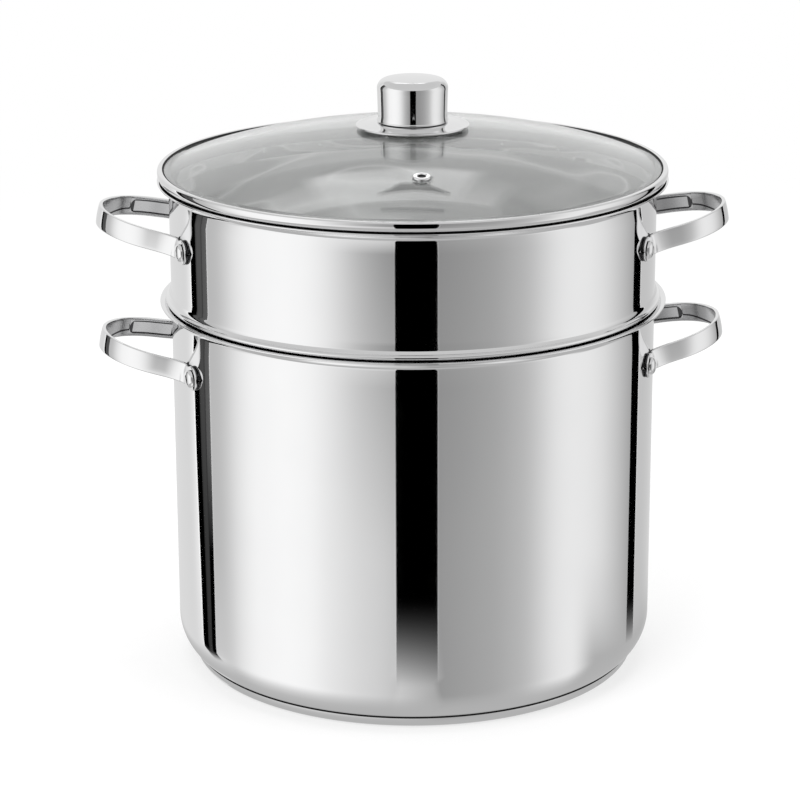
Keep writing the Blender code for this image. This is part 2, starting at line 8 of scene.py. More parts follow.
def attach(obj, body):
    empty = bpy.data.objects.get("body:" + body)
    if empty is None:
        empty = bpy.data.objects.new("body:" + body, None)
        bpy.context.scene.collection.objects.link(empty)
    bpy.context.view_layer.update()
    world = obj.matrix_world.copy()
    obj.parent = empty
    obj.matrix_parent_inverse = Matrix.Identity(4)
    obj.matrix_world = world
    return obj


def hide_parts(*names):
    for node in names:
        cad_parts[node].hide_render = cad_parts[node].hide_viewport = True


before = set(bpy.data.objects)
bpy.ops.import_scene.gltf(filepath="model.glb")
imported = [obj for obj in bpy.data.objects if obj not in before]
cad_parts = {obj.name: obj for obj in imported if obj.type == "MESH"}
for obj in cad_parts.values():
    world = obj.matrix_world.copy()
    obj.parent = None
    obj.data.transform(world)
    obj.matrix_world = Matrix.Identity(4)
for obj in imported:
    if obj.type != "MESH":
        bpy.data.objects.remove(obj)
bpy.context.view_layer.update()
print("frame loaded:", len(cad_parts), "nodes")


# outlines and meshes

sharpFrom = 32.0    # degrees between two faces that show an edge


def arc(centreX, centreZ, radius, start, end, steps):
    points = []
    for i in range(steps + 1):
        angle = math.radians(start + (end - start) * i / steps)
        points.append((centreX + radius * math.cos(angle), centreZ + radius * math.sin(angle)))
    return points


def sheetInside(outer, thickness):
    # the other face of a sheet, to the left of the way the outline runs
    points = [Vector(point) for point in outer]
    sides = []
    for start, end in zip(points, points[1:]):
        along = (end - start).normalized()
        sides.append(Vector((-along.y, along.x)))
    inner = []
    for i, point in enumerate(points):
        before = sides[max(i - 1, 0)]
        after = sides[min(i, len(sides) - 1)]
        corner = (before + after).normalized()
        inner.append(tuple(point + corner * thickness / corner.dot(after)))
    return inner


def thinned(points, nearest=0.00002):
    # drops points that lie on the one before
    kept = [points[0]]
    for point in points[1:]:
        if math.dist(point, kept[-1]) > nearest:
            kept.append(point)
    return kept


def circle(radius, height, steps, centre=(0.0, 0.0)):
    # points evenly spaced round an upright axis
    turns = [math.tau * i / steps for i in range(steps)]
    return [(centre[0] + radius * math.cos(turn), centre[1] + radius * math.sin(turn), height)
            for turn in turns]


def quads(low, high, closed=True):
    # faces between two rows of as many points
    count = len(low)
    return [(low[i], low[(i + 1) % count], high[(i + 1) % count], high[i])
            for i in range(count if closed else count - 1)]


def meshOf(name, verts, faces, edgeAngle=sharpFrom, looks=None):
    mesh = bpy.data.meshes.new(name)
    mesh.from_pydata([tuple(vert) for vert in verts], [], faces)
    mesh.validate()
    mesh.shade_smooth()
    mesh.set_sharp_from_angle(angle=math.radians(edgeAngle))
    if looks:
        for polygon, look in zip(mesh.polygons, looks):
            polygon.material_index = look
    return mesh


def turned(name, outline, facets=192, closed=True, secondFrom=math.inf, edgeAngle=sharpFrom):
    # turns an outline of (radius, height) points that runs with the solid on its left;
    # its rows have the first material, and from secondFrom on the second
    outline = thinned(outline)
    verts = [vert for point in outline for vert in circle(*point, facets)]
    rings = [range(row * facets, (row + 1) * facets) for row in range(len(outline))]
    spans = len(outline) if closed else len(outline) - 1
    faces = []
    looks = []
    for row in range(spans):
        faces += quads(rings[row], rings[(row + 1) % len(outline)])
        looks += [int(row >= secondFrom)] * facets
    if not closed:
        faces += [tuple(reversed(rings[0])), tuple(rings[-1])]
        looks += [int(secondFrom <= 0), int(spans - 1 >= secondFrom)]
    return meshOf(name, verts, faces, edgeAngle, looks)


def linked(name, content):
    thing = bpy.data.objects.new(name, content)
    bpy.context.scene.collection.objects.link(thing)
    return thing


def placed(name, mesh, body, node, materials, height=0.0, turn=0.0, lay=0.0):
    # one piece on its body, in the place of its CAD node
    piece = linked(name, mesh)
    piece.location = (0, 0, height)
    piece.rotation_euler = (0, math.radians(lay), math.radians(turn))
    if not mesh.materials:
        for material in materials:
            mesh.materials.append(material)
    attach(piece, body)
    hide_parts(node)
    return piece


# materials

class Wire:
    # a socket that takes part in sums
    def __init__(self, finish, socket):
        self.finish = finish
        self.socket = socket

    def maths(self, operation, first, second=0.0):
        return self.finish.node("Math", {"operation": operation}, {0: first, 1: second})

    def __add__(self, other):
        return self.maths("ADD", self, other)

    def __radd__(self, other):
        return self.maths("ADD", other, self)

    def __sub__(self, other):
        return self.maths("SUBTRACT", self, other)

    def __rsub__(self, other):
        return self.maths("SUBTRACT", other, self)

    def __mul__(self, other):
        return self.maths("MULTIPLY", self, other)

    def __rmul__(self, other):
        return self.maths("MULTIPLY", other, self)

    def __pow__(self, other):
        return self.maths("POWER", self, other)


class Nodes:
    # a node tree: every node but the first ones comes from node()
    def __init__(self, tree):
        self.tree = tree

    def node(self, kind, settings=None, inputs=None, output=0):
        made = self.tree.nodes.new("ShaderNode" + kind)
        for setting, value in (settings or {}).items():
            setattr(made, setting, value)
        for socket, value in (inputs or {}).items():
            self.feed(made.inputs[socket], value)
        return Wire(self, made.outputs[output])

    def feed(self, socket, value):
        if isinstance(value, Wire):
            self.tree.links.new(value.socket, socket)
        else:
            socket.default_value = value

    def seen(self):
        # one where the camera looks, directly or by way of steel or glass
        path = [self.node("LightPath", output=name) for name in
                ("Is Camera Ray", "Is Glossy Ray", "Is Transmission Ray")]
        return path[0] + path[1] + path[2]


class Finish(Nodes):
    # a material; fixed values go straight on the shader's sockets
    def __init__(self, name, fixed=None):
        self.material = bpy.data.materials.new(name)
        self.material.use_nodes = True
        super().__init__(self.material.node_tree)
        self.shader = self.tree.nodes["Principled BSDF"]
        self.out = self.tree.nodes["Material Output"]
        for socket, value in (fixed or {}).items():
            self.shader.inputs[socket].default_value = value

    def drive(self, **sockets):
        for socket, value in sockets.items():
            self.feed(self.shader.inputs[socket.replace("_", " ")], value)

    def place(self, stretch=(1, 1, 1)):
        where = self.node("TexCoord", output="Object")
        return self.node("VectorMath", {"operation": "MULTIPLY"}, {0: where, 1: stretch})

    def noise(self, where, scale, detail):
        return self.node("TexNoise", None, {"Vector": where, "Scale": scale, "Detail": detail})

    def blend(self, share, first, second):
        return self.node("Mix", {"data_type": "RGBA"}, {0: share, 6: first, 7: second}, output=2)

    def bump(self, height, distance):
        return self.node("Bump", None, {"Height": height, "Distance": distance, "Strength": 1.0})


# the two colours between which each finish wanders
tones = {
    "mirror": ((0.84, 0.84, 0.845, 1), (0.88, 0.88, 0.88, 1)),
    "satin": ((0.55, 0.55, 0.55, 1), (0.66, 0.66, 0.655, 1)),
    # fold: near-black tone of painted shade in crevices
    "fold": ((0.010, 0.010, 0.010, 1), (0.030, 0.030, 0.030, 1)),
    # shade: dark tone of painted shade on the straps
    "shade": ((0.045, 0.045, 0.047, 1), (0.090, 0.090, 0.092, 1)),
    "inner": ((0.50, 0.50, 0.505, 1), (0.66, 0.66, 0.665, 1)),
    # painted reflection and painted shade: the tones of the insert's inner wall
    "paintedReflection": ((0.13, 0.13, 0.13, 1), (0.40, 0.40, 0.40, 1)),
    "basket": ((0.60, 0.60, 0.605, 1), (0.70, 0.70, 0.70, 1)),
    "aluminium": ((0.62, 0.62, 0.64, 1), (0.76, 0.76, 0.77, 1)),
    "glass": ((0.93, 0.95, 0.94, 1), (0.97, 0.98, 0.975, 1)),
    "silicone": ((0.70, 0.70, 0.68, 1), (0.78, 0.78, 0.76, 1)),
}
dullMetal = {"Metallic": 0.4, "Specular IOR Level": 0.2}
roundAxis = (0.02, 0.02, 1)    # draws noise out into lines round the axis


def mirrorSteel(name="mirrorSteel", rough=0.025, wipe=0.03, tone="mirror"):
    # polished sheet: faint wiping marks in the gloss, and a very slight draw waviness
    finish = Finish(name, {"Metallic": 1.0})
    wiped = finish.noise(finish.place(), 26.0, 4.0)
    fine = finish.noise(finish.place((1, 1, 7)), 240.0, 2.0)
    finish.drive(Base_Color=finish.blend(wiped, *tones[tone]), Roughness=rough + wipe * wiped * wiped,
                 Normal=finish.bump(fine, 0.0000012))
    return finish.material


def grained(name, tone, grain, rough, spread, depth, fixed=None, stretch=(1, 1, 1), cloud=None):
    # grain and cloud are noise as (scale, detail); the colour follows the cloud, or else the grain
    finish = Finish(name, fixed or {"Metallic": 1.0})
    lines = finish.noise(finish.place(stretch), *grain)
    patches = finish.noise(finish.place(), *cloud) if cloud else lines
    finish.drive(Base_Color=finish.blend(patches, *tones[tone]), Roughness=rough + spread * lines,
                 Normal=finish.bump(lines, depth))
    return finish.material


def paintedReflectionSteel():
    # inside face of the insert's wall: painted reflection, with soft clouds of painted shade and thin painted
    # bright curves in the base colour standing in for what the bent sheet mirrors
    finish = Finish("paintedReflectionSteel", {"Metallic": 0.45, "Specular IOR Level": 0.2})
    sag = finish.node("TexNoise", None, {"Vector": finish.place((1, 1, 2.4)), "Scale": 7.0, "Detail": 1.0,
                                         "Distortion": 1.4})
    lines = finish.noise(finish.place(roundAxis), 2600.0, 2.0)
    # painted highlight: a thin bright curve along one level of the noise, over clouds of painted shade
    paintedCurve = 1.0 - 13.0 * finish.node("Math", {"operation": "ABSOLUTE"}, {0: sag - 0.5})
    crest = finish.node("Math", {"operation": "MAXIMUM"}, {0: paintedCurve, 1: 0.0}) ** 2.0
    cloud = finish.node("MapRange", {"interpolation_type": "SMOOTHSTEP"},
                        {"Value": sag, "From Min": 0.40, "From Max": 0.62})
    paintedClouds = finish.blend(cloud, *tones["paintedReflection"])
    finish.drive(Base_Color=finish.blend(0.8 * crest, paintedClouds, (0.8, 0.8, 0.8, 1)),
                 Roughness=0.34 + 0.08 * lines, Normal=finish.bump(lines, 0.000006))
    return finish.material


def temperedGlass():
    finish = Finish("temperedGlass", {"Transmission Weight": 0.95, "IOR": 1.5, "Metallic": 0.0})
    film = finish.noise(finish.place(), 9.0, 4.0)
    finish.drive(Base_Color=finish.blend(film, *tones["glass"]), Roughness=0.004 + 0.02 * film ** 3.0)
    return finish.material


mirror = mirrorSteel()
inner = mirrorSteel("strapInside", 0.20, 0.06, "inner")
knobSteel = mirrorSteel("knobSteel", 0.05, 0.04)
paintedReflection = paintedReflectionSteel()
glass = temperedGlass()
# the basket's inside with fine turning lines; its outside and the pot's inside are brushed and brighter
satin = grained("satinSteel", "satin", (2600.0, 2.0), 0.26, 0.08, 0.000006, dullMetal, roundAxis, (14.0, 3.0))
brushed = grained("basketSteel", "basket", (1800.0, 3.0), 0.20, 0.12, 0.000008, None, roundAxis, (18.0, 3.0))
# painted shade: near-black metal for the strap's pressed corners and backs, and near-black matte for the
# crevices at seats and seams, where shade falls
shade = grained("paintedShadeSteel", "shade", (150.0, 3.0), 0.16, 0.1, 0.000003)
fold = grained("paintedShadeMatte", "fold", (180.0, 3.0), 0.55, 0.2, 0.00002,
               {"Metallic": 0.0, "Specular IOR Level": 0.1})
aluminium = grained("castAluminium", "aluminium", (420.0, 4.0), 0.34, 0.14, 0.00002)
silicone = grained("siliconeRubber", "silicone", (900.0, 2.0), 0.5, 0.2, 0.00002,
                   {"Specular IOR Level": 0.35})
print("materials made")


# pot

wall = {"radius": 0.130, "sheet": 0.0008, "gap": 0.0003}
rimForm = {"reach": 0.006, "edge": 0.0005, "flare": 0.0047, "flareAngle": 84.0}
potForm = {"height": 0.2014, "corner": 0.023, "heel": 0.0088, "wallFrom": 0.004, "handleDrop": 0.0291,
           "draw": 0.009, "brushedFlare": 10}
baseForm = {"inset": 0.0087, "sheet": 0.0006, "edge": 0.004, "core": 0.0029, "lip": 0.0004}

floorHeight = baseForm["sheet"] + baseForm["core"] + 2 * wall["gap"]
baseRadius = wall["radius"] - baseForm["inset"]
seamShare = (baseRadius - wall["radius"] + potForm["corner"]) / potForm["corner"]
flareMiddle = rimForm["flare"] + wall["sheet"] / 2
flareDrop = rimForm["edge"] + flareMiddle * math.sin(math.radians(rimForm["flareAngle"]))
flareLine = wall["radius"] + rimForm["flare"]
seatRadius = rimForm["flare"] + wall["sheet"] + wall["gap"]


def rimOutline(top):
    # outer flare, rounded edge, inner flare
    flareZ = top - flareDrop
    edge = rimForm["edge"]
    edgeX = wall["radius"] + rimForm["reach"] - edge
    end = 180 - rimForm["flareAngle"]
    outer = arc(flareLine, flareZ, rimForm["flare"], 180, end, 16)
    rounded = arc(edgeX, top - edge, edge, -90, 90, 12)
    inner = arc(flareLine, flareZ, rimForm["flare"] + wall["sheet"], end, 180, 16)
    return outer + rounded + inner


def potOutline():
    # the corner's round is broken at the base's seam by a tighter heel
    split = math.degrees(math.acos(seamShare))
    offset = potForm["corner"] - potForm["heel"]
    cornerX = wall["radius"] - potForm["corner"]
    heelZ = floorHeight + potForm["heel"]
    cornerZ = heelZ + offset * math.sin(math.radians(split))
    heel = arc(cornerX + offset * seamShare, heelZ, potForm["heel"], -90, -split, 12)
    corner = arc(cornerX, cornerZ, potForm["corner"], -split, 0, 20)
    wallTop = potForm["height"] - flareDrop - potForm["draw"]
    below = heel + corner[1:] + [(wall["radius"], cornerZ + potForm["wallFrom"]), (wall["radius"], wallTop)]
    outside = below + rimOutline(potForm["height"])
    return outside, list(reversed(sheetInside(below, wall["sheet"])))


def makePot():
    # the last rows of the rim's flare are brushed like the inside
    outside, inside = potOutline()
    brushedFrom = len(thinned(outside)) - potForm["brushedFlare"]
    mesh = turned("potWall", outside + inside, closed=False, secondFrom=brushedFrom)
    placed("potWall", mesh, "pot", "pot_shell", [mirror, brushed])


def makeBase():
    # cap round the core, dark from the lip at its seam inwards
    form = baseForm
    drop = math.sqrt(1 - seamShare ** 2)
    edgeTop = floorHeight + potForm["heel"] * (1 - drop) - wall["gap"]
    slope = seamShare / drop
    roundX = baseRadius - form["edge"]
    outside = arc(roundX, form["edge"], form["edge"], -90, 0, 14)
    lip = arc(baseRadius - form["lip"], edgeTop - form["lip"], form["lip"], 0, 60, 3)
    inside = [(baseRadius - form["sheet"], edgeTop - form["sheet"] * slope)]
    inside += arc(roundX, form["edge"], form["edge"] - form["sheet"], 0, -90, 12)
    # cap round the core, near-black from the lip at its seam inwards: painted shade in the seam
    cap = turned("baseCap", outside + lip + inside, closed=False, secondFrom=len(outside))
    placed("baseCap", cap, "pot", "base_cap", [mirror, fold])
    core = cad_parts["base_core"].data.materials
    core.clear()
    core.append(aluminium)


# strainer insert

insertForm = {"height": 0.0656, "turn": -4.1, "handleDrop": 0.0292,
              "shoulder": 0.003, "shoulderRound": 0.0011, "crest": 0.0017, "shoulderHeight": 0.0062,
              "wallFrom": 0.003, "wallTo": 0.006,
              "basketInset": 0.006, "depth": 0.1676, "corner": 0.014, "step": 0.0065, "paintedShadeRows": 6}
holeForm = {"radius": 0.0030, "columns": 48, "rows": 10, "rowPitch": 0.0128, "bottomRow": 0.0195,
            "rings": 7, "ringPitch": 0.0138, "sides": 16}
insertFinishes = {"polished": mirror, "satin": satin, "fold": fold, "paintedReflection": paintedReflection, "brushed": brushed}
basketLooks = ("brushed", "satin")    # its outer and its inner skin

insertAround = holeForm["columns"] * 4
basketBottom = -insertForm["depth"]
basketRadius = wall["radius"] - insertForm["basketInset"]
bandLow = basketBottom + holeForm["bottomRow"]
bandHigh = bandLow + holeForm["rows"] * holeForm["rowPitch"]


def shoulderOutline():
    # from the wall down over the bead and along the pot's flare, and how many points lie on the seat
    bead = insertForm["shoulderRound"]
    crestX = wall["radius"] + insertForm["shoulder"] - bead
    crestZ = insertForm["crest"]
    rise = insertForm["shoulderHeight"] - crestZ
    across = crestX - wall["radius"]
    hollow = (across ** 2 + rise ** 2 - bead ** 2) / (2 * (across + bead))
    tilt = math.degrees(math.atan2(rise, hollow - across))
    toCrest = Vector((crestX - flareLine, crestZ + flareDrop))
    lean = math.acos((seatRadius + bead) / toCrest.length)
    touch = math.degrees(math.atan2(toCrest.y, toCrest.x) + lean)
    down = arc(wall["radius"] + hollow, insertForm["shoulderHeight"], hollow, 180, 180 + tilt, 12)
    crest = arc(crestX, crestZ, bead, tilt, touch - 180, 16)
    seat = arc(flareLine, -flareDrop, seatRadius, touch, 180, 8)
    return down + crest[1:] + seat, len(seat)


class Sheet:
    # a mesh that grows by points, rings and faces, each face with the name of its finish
    def __init__(self):
        self.verts = []
        self.faces = []
        self.looks = []

    def point(self, place):
        self.verts.append(place)
        return len(self.verts) - 1

    def ring(self, radius, height):
        return [self.point(place) for place in circle(radius, height, insertAround)]

    def face(self, corners, look, flip=False):
        self.faces.append(tuple(reversed(corners)) if flip else tuple(corners))
        self.looks.append(look)

    def skin(self, rows, look, flip=False):
        for low, high in zip(rows, rows[1:]):
            for face in quads(low, high):
                self.face(face, look, flip)


def numbered(looks, finishes):
    order = list(finishes)
    return [order.index(look) for look in looks]


def bandPoint(side, column, height):
    radius = basketRadius - side * wall["sheet"]
    angle = math.tau * column / insertAround
    return (radius * math.cos(angle), radius * math.sin(angle), height)


def perforateBand(sheet, ends):
    # each cell is a square of skin round one hole, every other row half a cell on;
    # ends holds for each side the skin's rows under and over the band
    borders = {}
    pitch = basketRadius * math.tau / insertAround
    top = holeForm["rows"] * 4

    def border(side, column, step):
        # step counts quarter rows up the band
        column %= insertAround
        if step in (0, top):
            return ends[side][step > 0][column]
        key = (side, column, step)
        if key not in borders:
            borders[key] = sheet.point(bandPoint(side, column, bandLow + step * holeForm["rowPitch"] / 4))
        return borders[key]

    for row in range(holeForm["rows"]):
        for cell in range(holeForm["columns"]):
            first = cell * 4 + row % 2 * 2
            low = row * 4
            edge = [(first + k, low) for k in range(4)] + [(first + 4, low + k) for k in range(4)]
            edge += [(first + 4 - k, low + 4) for k in range(4)] + [(first, low + 4 - k) for k in range(4)]
            holes = []
            for side in (0, 1):
                outside = [border(side, *corner) for corner in edge]
                hole = []
                for k in range(16):
                    angle = math.radians(-135 + 22.5 * k)
                    column = first + 2 + holeForm["radius"] * math.cos(angle) / pitch
                    up = (row + 0.5) * holeForm["rowPitch"]
                    height = bandLow + up + holeForm["radius"] * math.sin(angle)
                    hole.append(sheet.point(bandPoint(side, column, height)))
                holes.append(hole)
                for face in quads(outside, hole):
                    sheet.face(face, basketLooks[side], side)
            for face in quads(*holes):
                sheet.face(face, "brushed")


def perforateFloor(sheet, edges):
    # flat sheet with rings of holes, within the lowest row of each skin
    centres = [(0.0, 0.0)]
    for ring in range(1, holeForm["rings"] + 1):
        centres += [place[:2] for place in circle(ring * holeForm["ringPitch"], 0, 6 * ring)]
    outlines = [circle(basketRadius - insertForm["corner"], 0, insertAround)]
    outlines += [circle(holeForm["radius"], 0, holeForm["sides"], centre) for centre in centres]
    points = []
    loops = []
    for outline in outlines:
        loops.append(list(range(len(points), len(points) + len(outline))))
        points += [Vector(place[:2]) for place in outline]
    flat, _, tiles, source, _, _ = delaunay_2d_cdt(points, [], loops, 1, 0.000001)
    vertOf = {origin: i for i, origins in enumerate(source) for origin in origins}
    boundary = {vertOf[i]: i for i in loops[0]}

    def inHole(tile):
        middle = sum((flat[i] for i in tile), Vector((0, 0))) / len(tile)
        return any(math.dist(middle, centre) < holeForm["radius"] * 0.98 for centre in centres)

    kept = [tile for tile in tiles if not inHole(tile)]
    floors = []
    for side in (0, 1):
        height = basketBottom + side * wall["sheet"]
        ids = [edges[side][boundary[i]] if i in boundary else sheet.point((*point, height))
               for i, point in enumerate(flat)]
        floors.append(ids)
        for tile in kept:
            sheet.face([ids[i] for i in tile], basketLooks[side], not side)
    for loop in loops[1:]:
        below, above = [[ids[vertOf[i]] for i in loop] for ids in floors]
        for face in quads(below, above):
            sheet.face(face, "satin", True)


def makeInsert():
    # one sheet: outer and inner skin share the same rows, joined at the rim and round every hole
    form = insertForm
    corner = form["corner"]
    lower = arc(basketRadius - corner, basketBottom + corner, corner, -90, 0, 14) + [(basketRadius, bandLow)]
    shoulder, seatPoints = shoulderOutline()
    upper = [(basketRadius, bandHigh), (basketRadius, -flareDrop - form["step"])] + shoulder[::-1]
    outline = lower + upper + [(wall["radius"], form["shoulderHeight"] + form["wallFrom"]),
                               (wall["radius"], form["height"] - flareDrop - form["wallTo"])]
    split = len(lower)
    sheet = Sheet()
    outer = [sheet.ring(*point) for point in outline]
    inside = [sheet.ring(*point) for point in sheetInside(outline, wall["sheet"])]
    rim = [sheet.ring(*point) for point in thinned(rimOutline(form["height"]))[1:-1]]
    paintedShadeEnd = split + 2 + seatPoints
    paintedShadeStart = paintedShadeEnd - form["paintedShadeRows"]
    sheet.skin(outer[:split], "brushed")
    sheet.skin(outer[split:paintedShadeStart + 1], "brushed")
    # painted shade: the seat on the pot's flare is near-black, for the crevice under the bead
    sheet.skin(outer[paintedShadeStart:paintedShadeEnd], "fold")
    sheet.skin(outer[paintedShadeEnd - 1:], "polished")
    sheet.skin(inside[:split], "satin", flip=True)
    # painted reflection and painted shade on the inner wall above the basket
    sheet.skin(inside[split:], "paintedReflection", flip=True)
    sheet.skin([outer[-1]] + rim + [inside[-1]], "polished")
    perforateBand(sheet, [(rows[split - 1], rows[split]) for rows in (outer, inside)])
    perforateFloor(sheet, (outer[0], inside[0]))
    mesh = meshOf("strainerInsert", sheet.verts, sheet.faces, looks=numbered(sheet.looks, insertFinishes))
    placed("strainerInsert", mesh, "insert", "insert_shell",
           list(insertFinishes.values()), height=potForm["height"])


# strap handles and rivets

strap = {"width": 0.0106, "thickness": 0.0022, "crown": 0.0003, "outerRound": 0.0006, "innerRound": 0.0003,
         "channel": 0.0036, "channelDepth": 0.0013, "channelStart": 50.0, "channelStop": 0.002,
         "approach": 0.022, "fullChannel": 0.97, "slope": 0.0004, "plainSlope": 0.0009, "ledge": 0.0007,
         "reach": 0.0375, "loop": 0.038, "leg": 74.5, "sway": 0.034, "swayTurn": 16.0, "bend": 0.006,
         "tilt": 12.1, "foot": 0.0018, "footRadius": 0.0065, "spacing": 0.1021}
# dark: painted shade on the foot's back and in the channel
strapFinishes = {"polished": mirror, "dark": shade, "inner": inner}
# faces of the strap's section, counted round it from the middle of its outer face
sectionFaces = {"footBack": range(6, 26), "inside": range(9, 23), "channel": range(11, 21),
                "channelWalls": (11, 12, 13, 19, 20), "lowerWall": (19, 20)}
rivetForm = {"shank": 0.0024, "head": 0.0048, "headHeight": 0.0024, "flat": 0.22,
             "tail": 0.0042, "tailHeight": 0.0011, "tailFlat": 0.3}

footLine = wall["radius"] + wall["gap"] + strap["foot"] / 2
rivetAngle = math.degrees(math.asin(strap["spacing"] / 2 / footLine))


def smooth(share):
    # from 0 to 1 without a kink, and held at both ends
    share = min(1.0, max(0.0, share))
    return share * share * (3 - 2 * share)


def strapStations():
    # half a handle from the middle of its loop to the end of its foot, seen from above
    centreX = wall["radius"] + strap["reach"] - strap["loop"]
    leg = math.radians(strap["leg"])
    out = Vector((math.cos(leg), math.sin(leg)))
    back = Vector((-math.sin(leg), math.cos(leg)))
    legStart = Vector((centreX, 0)) + strap["loop"] * out
    swayTurn = strap["leg"] - strap["swayTurn"]
    swayOut = Vector((math.cos(math.radians(swayTurn)), math.sin(math.radians(swayTurn))))
    # a straight run, a slow turn back and the bend down to the wall, which ends on the foot's line
    first = legStart + strap["sway"] * out + (strap["bend"] - strap["sway"]) * swayOut
    half = first.dot(back)
    length = -half - math.sqrt(half ** 2 - first.length_squared + (footLine + strap["bend"]) ** 2)
    bend = first + length * back
    bendAngle = math.degrees(math.atan2(bend.y, bend.x))
    swayCentre = legStart + length * back + strap["sway"] * out
    swayLength = strap["sway"] * math.radians(strap["swayTurn"])
    arcLength = strap["loop"] * math.radians(strap["leg"])
    total = arcLength + length + swayLength
    channelFrom = strap["loop"] * math.radians(strap["channelStart"])
    channelTo = total - strap["channelStop"]
    reach = strap["channel"]

    def channelAt(along):
        # half width of the channel, with round ends; outside it minus how near its end is
        inside = min(along - channelFrom, channelTo - along)
        if inside <= 0:
            return -max(0.0, 1 + inside / strap["approach"])
        return reach * math.sqrt(max(0.0, 1 - max(0.0, 1 - inside / reach) ** 2))

    # stations lie closer at the channel's round ends and at the foot's
    roundShares = (-0.06, 0.0, 0.012, 0.06, 0.16, 0.3, 0.5, 0.75, 1.0)
    footTurns = (12, 24, 36, 48, 58, 67, 75, 81, 85.5)
    marks = {0.0}
    marks.update(arcLength * i / 40 for i in range(41))
    marks.update(arcLength + length * i / 5 for i in range(6))
    marks.update(arcLength + length + swayLength * i / 10 for i in range(11))
    for end, way in ((channelFrom, 1), (channelTo, -1)):
        marks.update(end + way * reach * share for share in roundShares)
    stations = []
    for along in sorted(mark for mark in marks if mark <= total):
        if stations and along - lastMark < 0.00003:
            continue
        lastMark = along
        if along < arcLength:
            angle = along / strap["loop"]
            x = centreX + strap["loop"] * math.cos(angle)
            y = strap["loop"] * math.sin(angle)
        elif along < arcLength + length:
            x, y = legStart + (along - arcLength) * back
        else:
            turn = leg - (along - arcLength - length) / strap["sway"]
            x, y = swayCentre - strap["sway"] * Vector((math.cos(turn), math.sin(turn)))
        stations.append((x, y, 1.0, strap["width"], strap["thickness"], channelAt(along)))
    turns = arc(bend.x, bend.y, strap["bend"], 180 + swayTurn, 180 + bendAngle, 16)
    for i, (x, y) in enumerate(turns[1:], 1):
        share = 1 - i / 16
        thickness = strap["foot"] + (strap["thickness"] - strap["foot"]) * share
        stations.append((x, y, smooth(share), strap["width"], thickness, 0.0))
    start = math.radians(bendAngle) * footLine
    rivet = math.radians(rivetAngle) * footLine
    run = [start + (rivet - start) * i / 10 for i in range(1, 11)]
    run += [rivet + strap["footRadius"] * math.sin(math.radians(turn)) for turn in footTurns]
    for along in run:
        off = (along - rivet) / strap["footRadius"]
        disc = 2 * strap["footRadius"] * math.sqrt(max(0.0, 1 - off ** 2))
        width = disc if off > 0 else max(strap["width"], disc)
        angle = along / footLine
        spot = (footLine * math.cos(angle), footLine * math.sin(angle))
        stations.append((*spot, 0.0, width, strap["foot"], 0.0))
    return stations


def strapSection(width, thickness, channel):
    # (outward, upward) points round the strap: crowned outside, recessed channel inside
    half = thickness / 2
    edge = width / 2
    corner = min(strap["outerRound"], edge * 0.5)
    inside = min(strap["innerRound"], edge * 0.4)
    upper = []
    for share in (0.0, 0.35, 0.7, 1.0):
        up = share * (edge - corner)
        upper.append((half - strap["crown"] * (up / edge) ** 2, up))
    upper += arc(upper[-1][0] - corner, edge - corner, corner, 30, 90, 2)
    upper += arc(inside - half, edge - inside, inside, 90, 180, 2)
    if channel > 0.0001:
        floor = strap["channelDepth"] - half
        lipTop = strap["channelDepth"] * 0.15 - half
        lip = max(channel, 0.0006)
        slope = strap["slope"]
        bulge = strap["crown"]
    else:
        # a plain inner face, whose shallow lip draws in towards the channel
        floor = -half
        lipTop = -half
        flat = (edge - inside) * 0.9
        lip = flat + (strap["channel"] * 0.5 - flat) * smooth(-channel)
        slope = strap["plainSlope"]
        bulge = strap["crown"] * 0.4
    lip = max(0.0003, min(lip, edge - inside - 0.0002))
    foot = lip - min(slope, lip * 0.4)
    ledge = strap["ledge"] if lip > 0.0015 else foot * 0.2
    upper += [(-half - bulge * 0.75, (lip + edge - inside) / 2), (-half - bulge, lip + 0.0001),
              (lipTop, lip), (floor, foot), (floor, foot - ledge), (floor, foot * 0.4)]
    return upper + [(floor, 0.0)] + [(outward, -up) for outward, up in reversed(upper[1:])]


def strapLook(k, raised, channels):
    # the finish of face k of the section between two stations with these channels; the dark faces, behind the
    # foot and in the channel, are painted shade
    if raised < 1:
        return "dark" if k in sectionFaces["footBack"] else "polished"
    if k not in sectionFaces["inside"]:
        return "polished"
    low, high = channels
    if high <= 0:
        dark = k in sectionFaces["lowerWall"]
    elif low < strap["fullChannel"] * strap["channel"]:
        dark = k in sectionFaces["channel"]
    else:
        dark = k in sectionFaces["channelWalls"]
    return "dark" if dark else "inner"


def strapMesh():
    half = strapStations()
    stations = [(x, -y, *rest) for x, y, *rest in reversed(half[1:])] + half
    tilt = math.radians(strap["tilt"])
    pivot = footLine * math.cos(math.radians(rivetAngle))
    centres = [Vector((x, y, raised * math.tan(tilt) * (x - pivot))) for x, y, raised, *_ in stations]
    verts = []
    rings = []
    last = len(stations) - 1
    for i, (_, _, raised, width, thickness, channel) in enumerate(stations):
        along = (centres[min(i + 1, last)] - centres[max(i - 1, 0)]).normalized()
        up = Vector((-math.sin(tilt) * raised, 0, math.cos(tilt * raised)))
        outward = along.cross(up).normalized()
        upward = outward.cross(along)
        first = len(verts)
        verts += [centres[i] + outward * n + upward * u for n, u in strapSection(width, thickness, channel)]
        rings.append(range(first, len(verts)))
    faces = []
    looks = []
    for i, (near, far) in enumerate(zip(rings, rings[1:])):
        raised = min(stations[i][2], stations[i + 1][2])
        channels = sorted((stations[i][5], stations[i + 1][5]))
        for k, face in enumerate(quads(near, far)):
            faces.append(face[1::-1] + face[:1:-1])
            looks.append(strapLook(k, raised, channels))
    faces += [tuple(rings[0]), tuple(reversed(rings[-1]))]
    looks += ["polished", "polished"]
    return meshOf("strapHandle", verts, faces, 38.0, numbered(looks, strapFinishes))


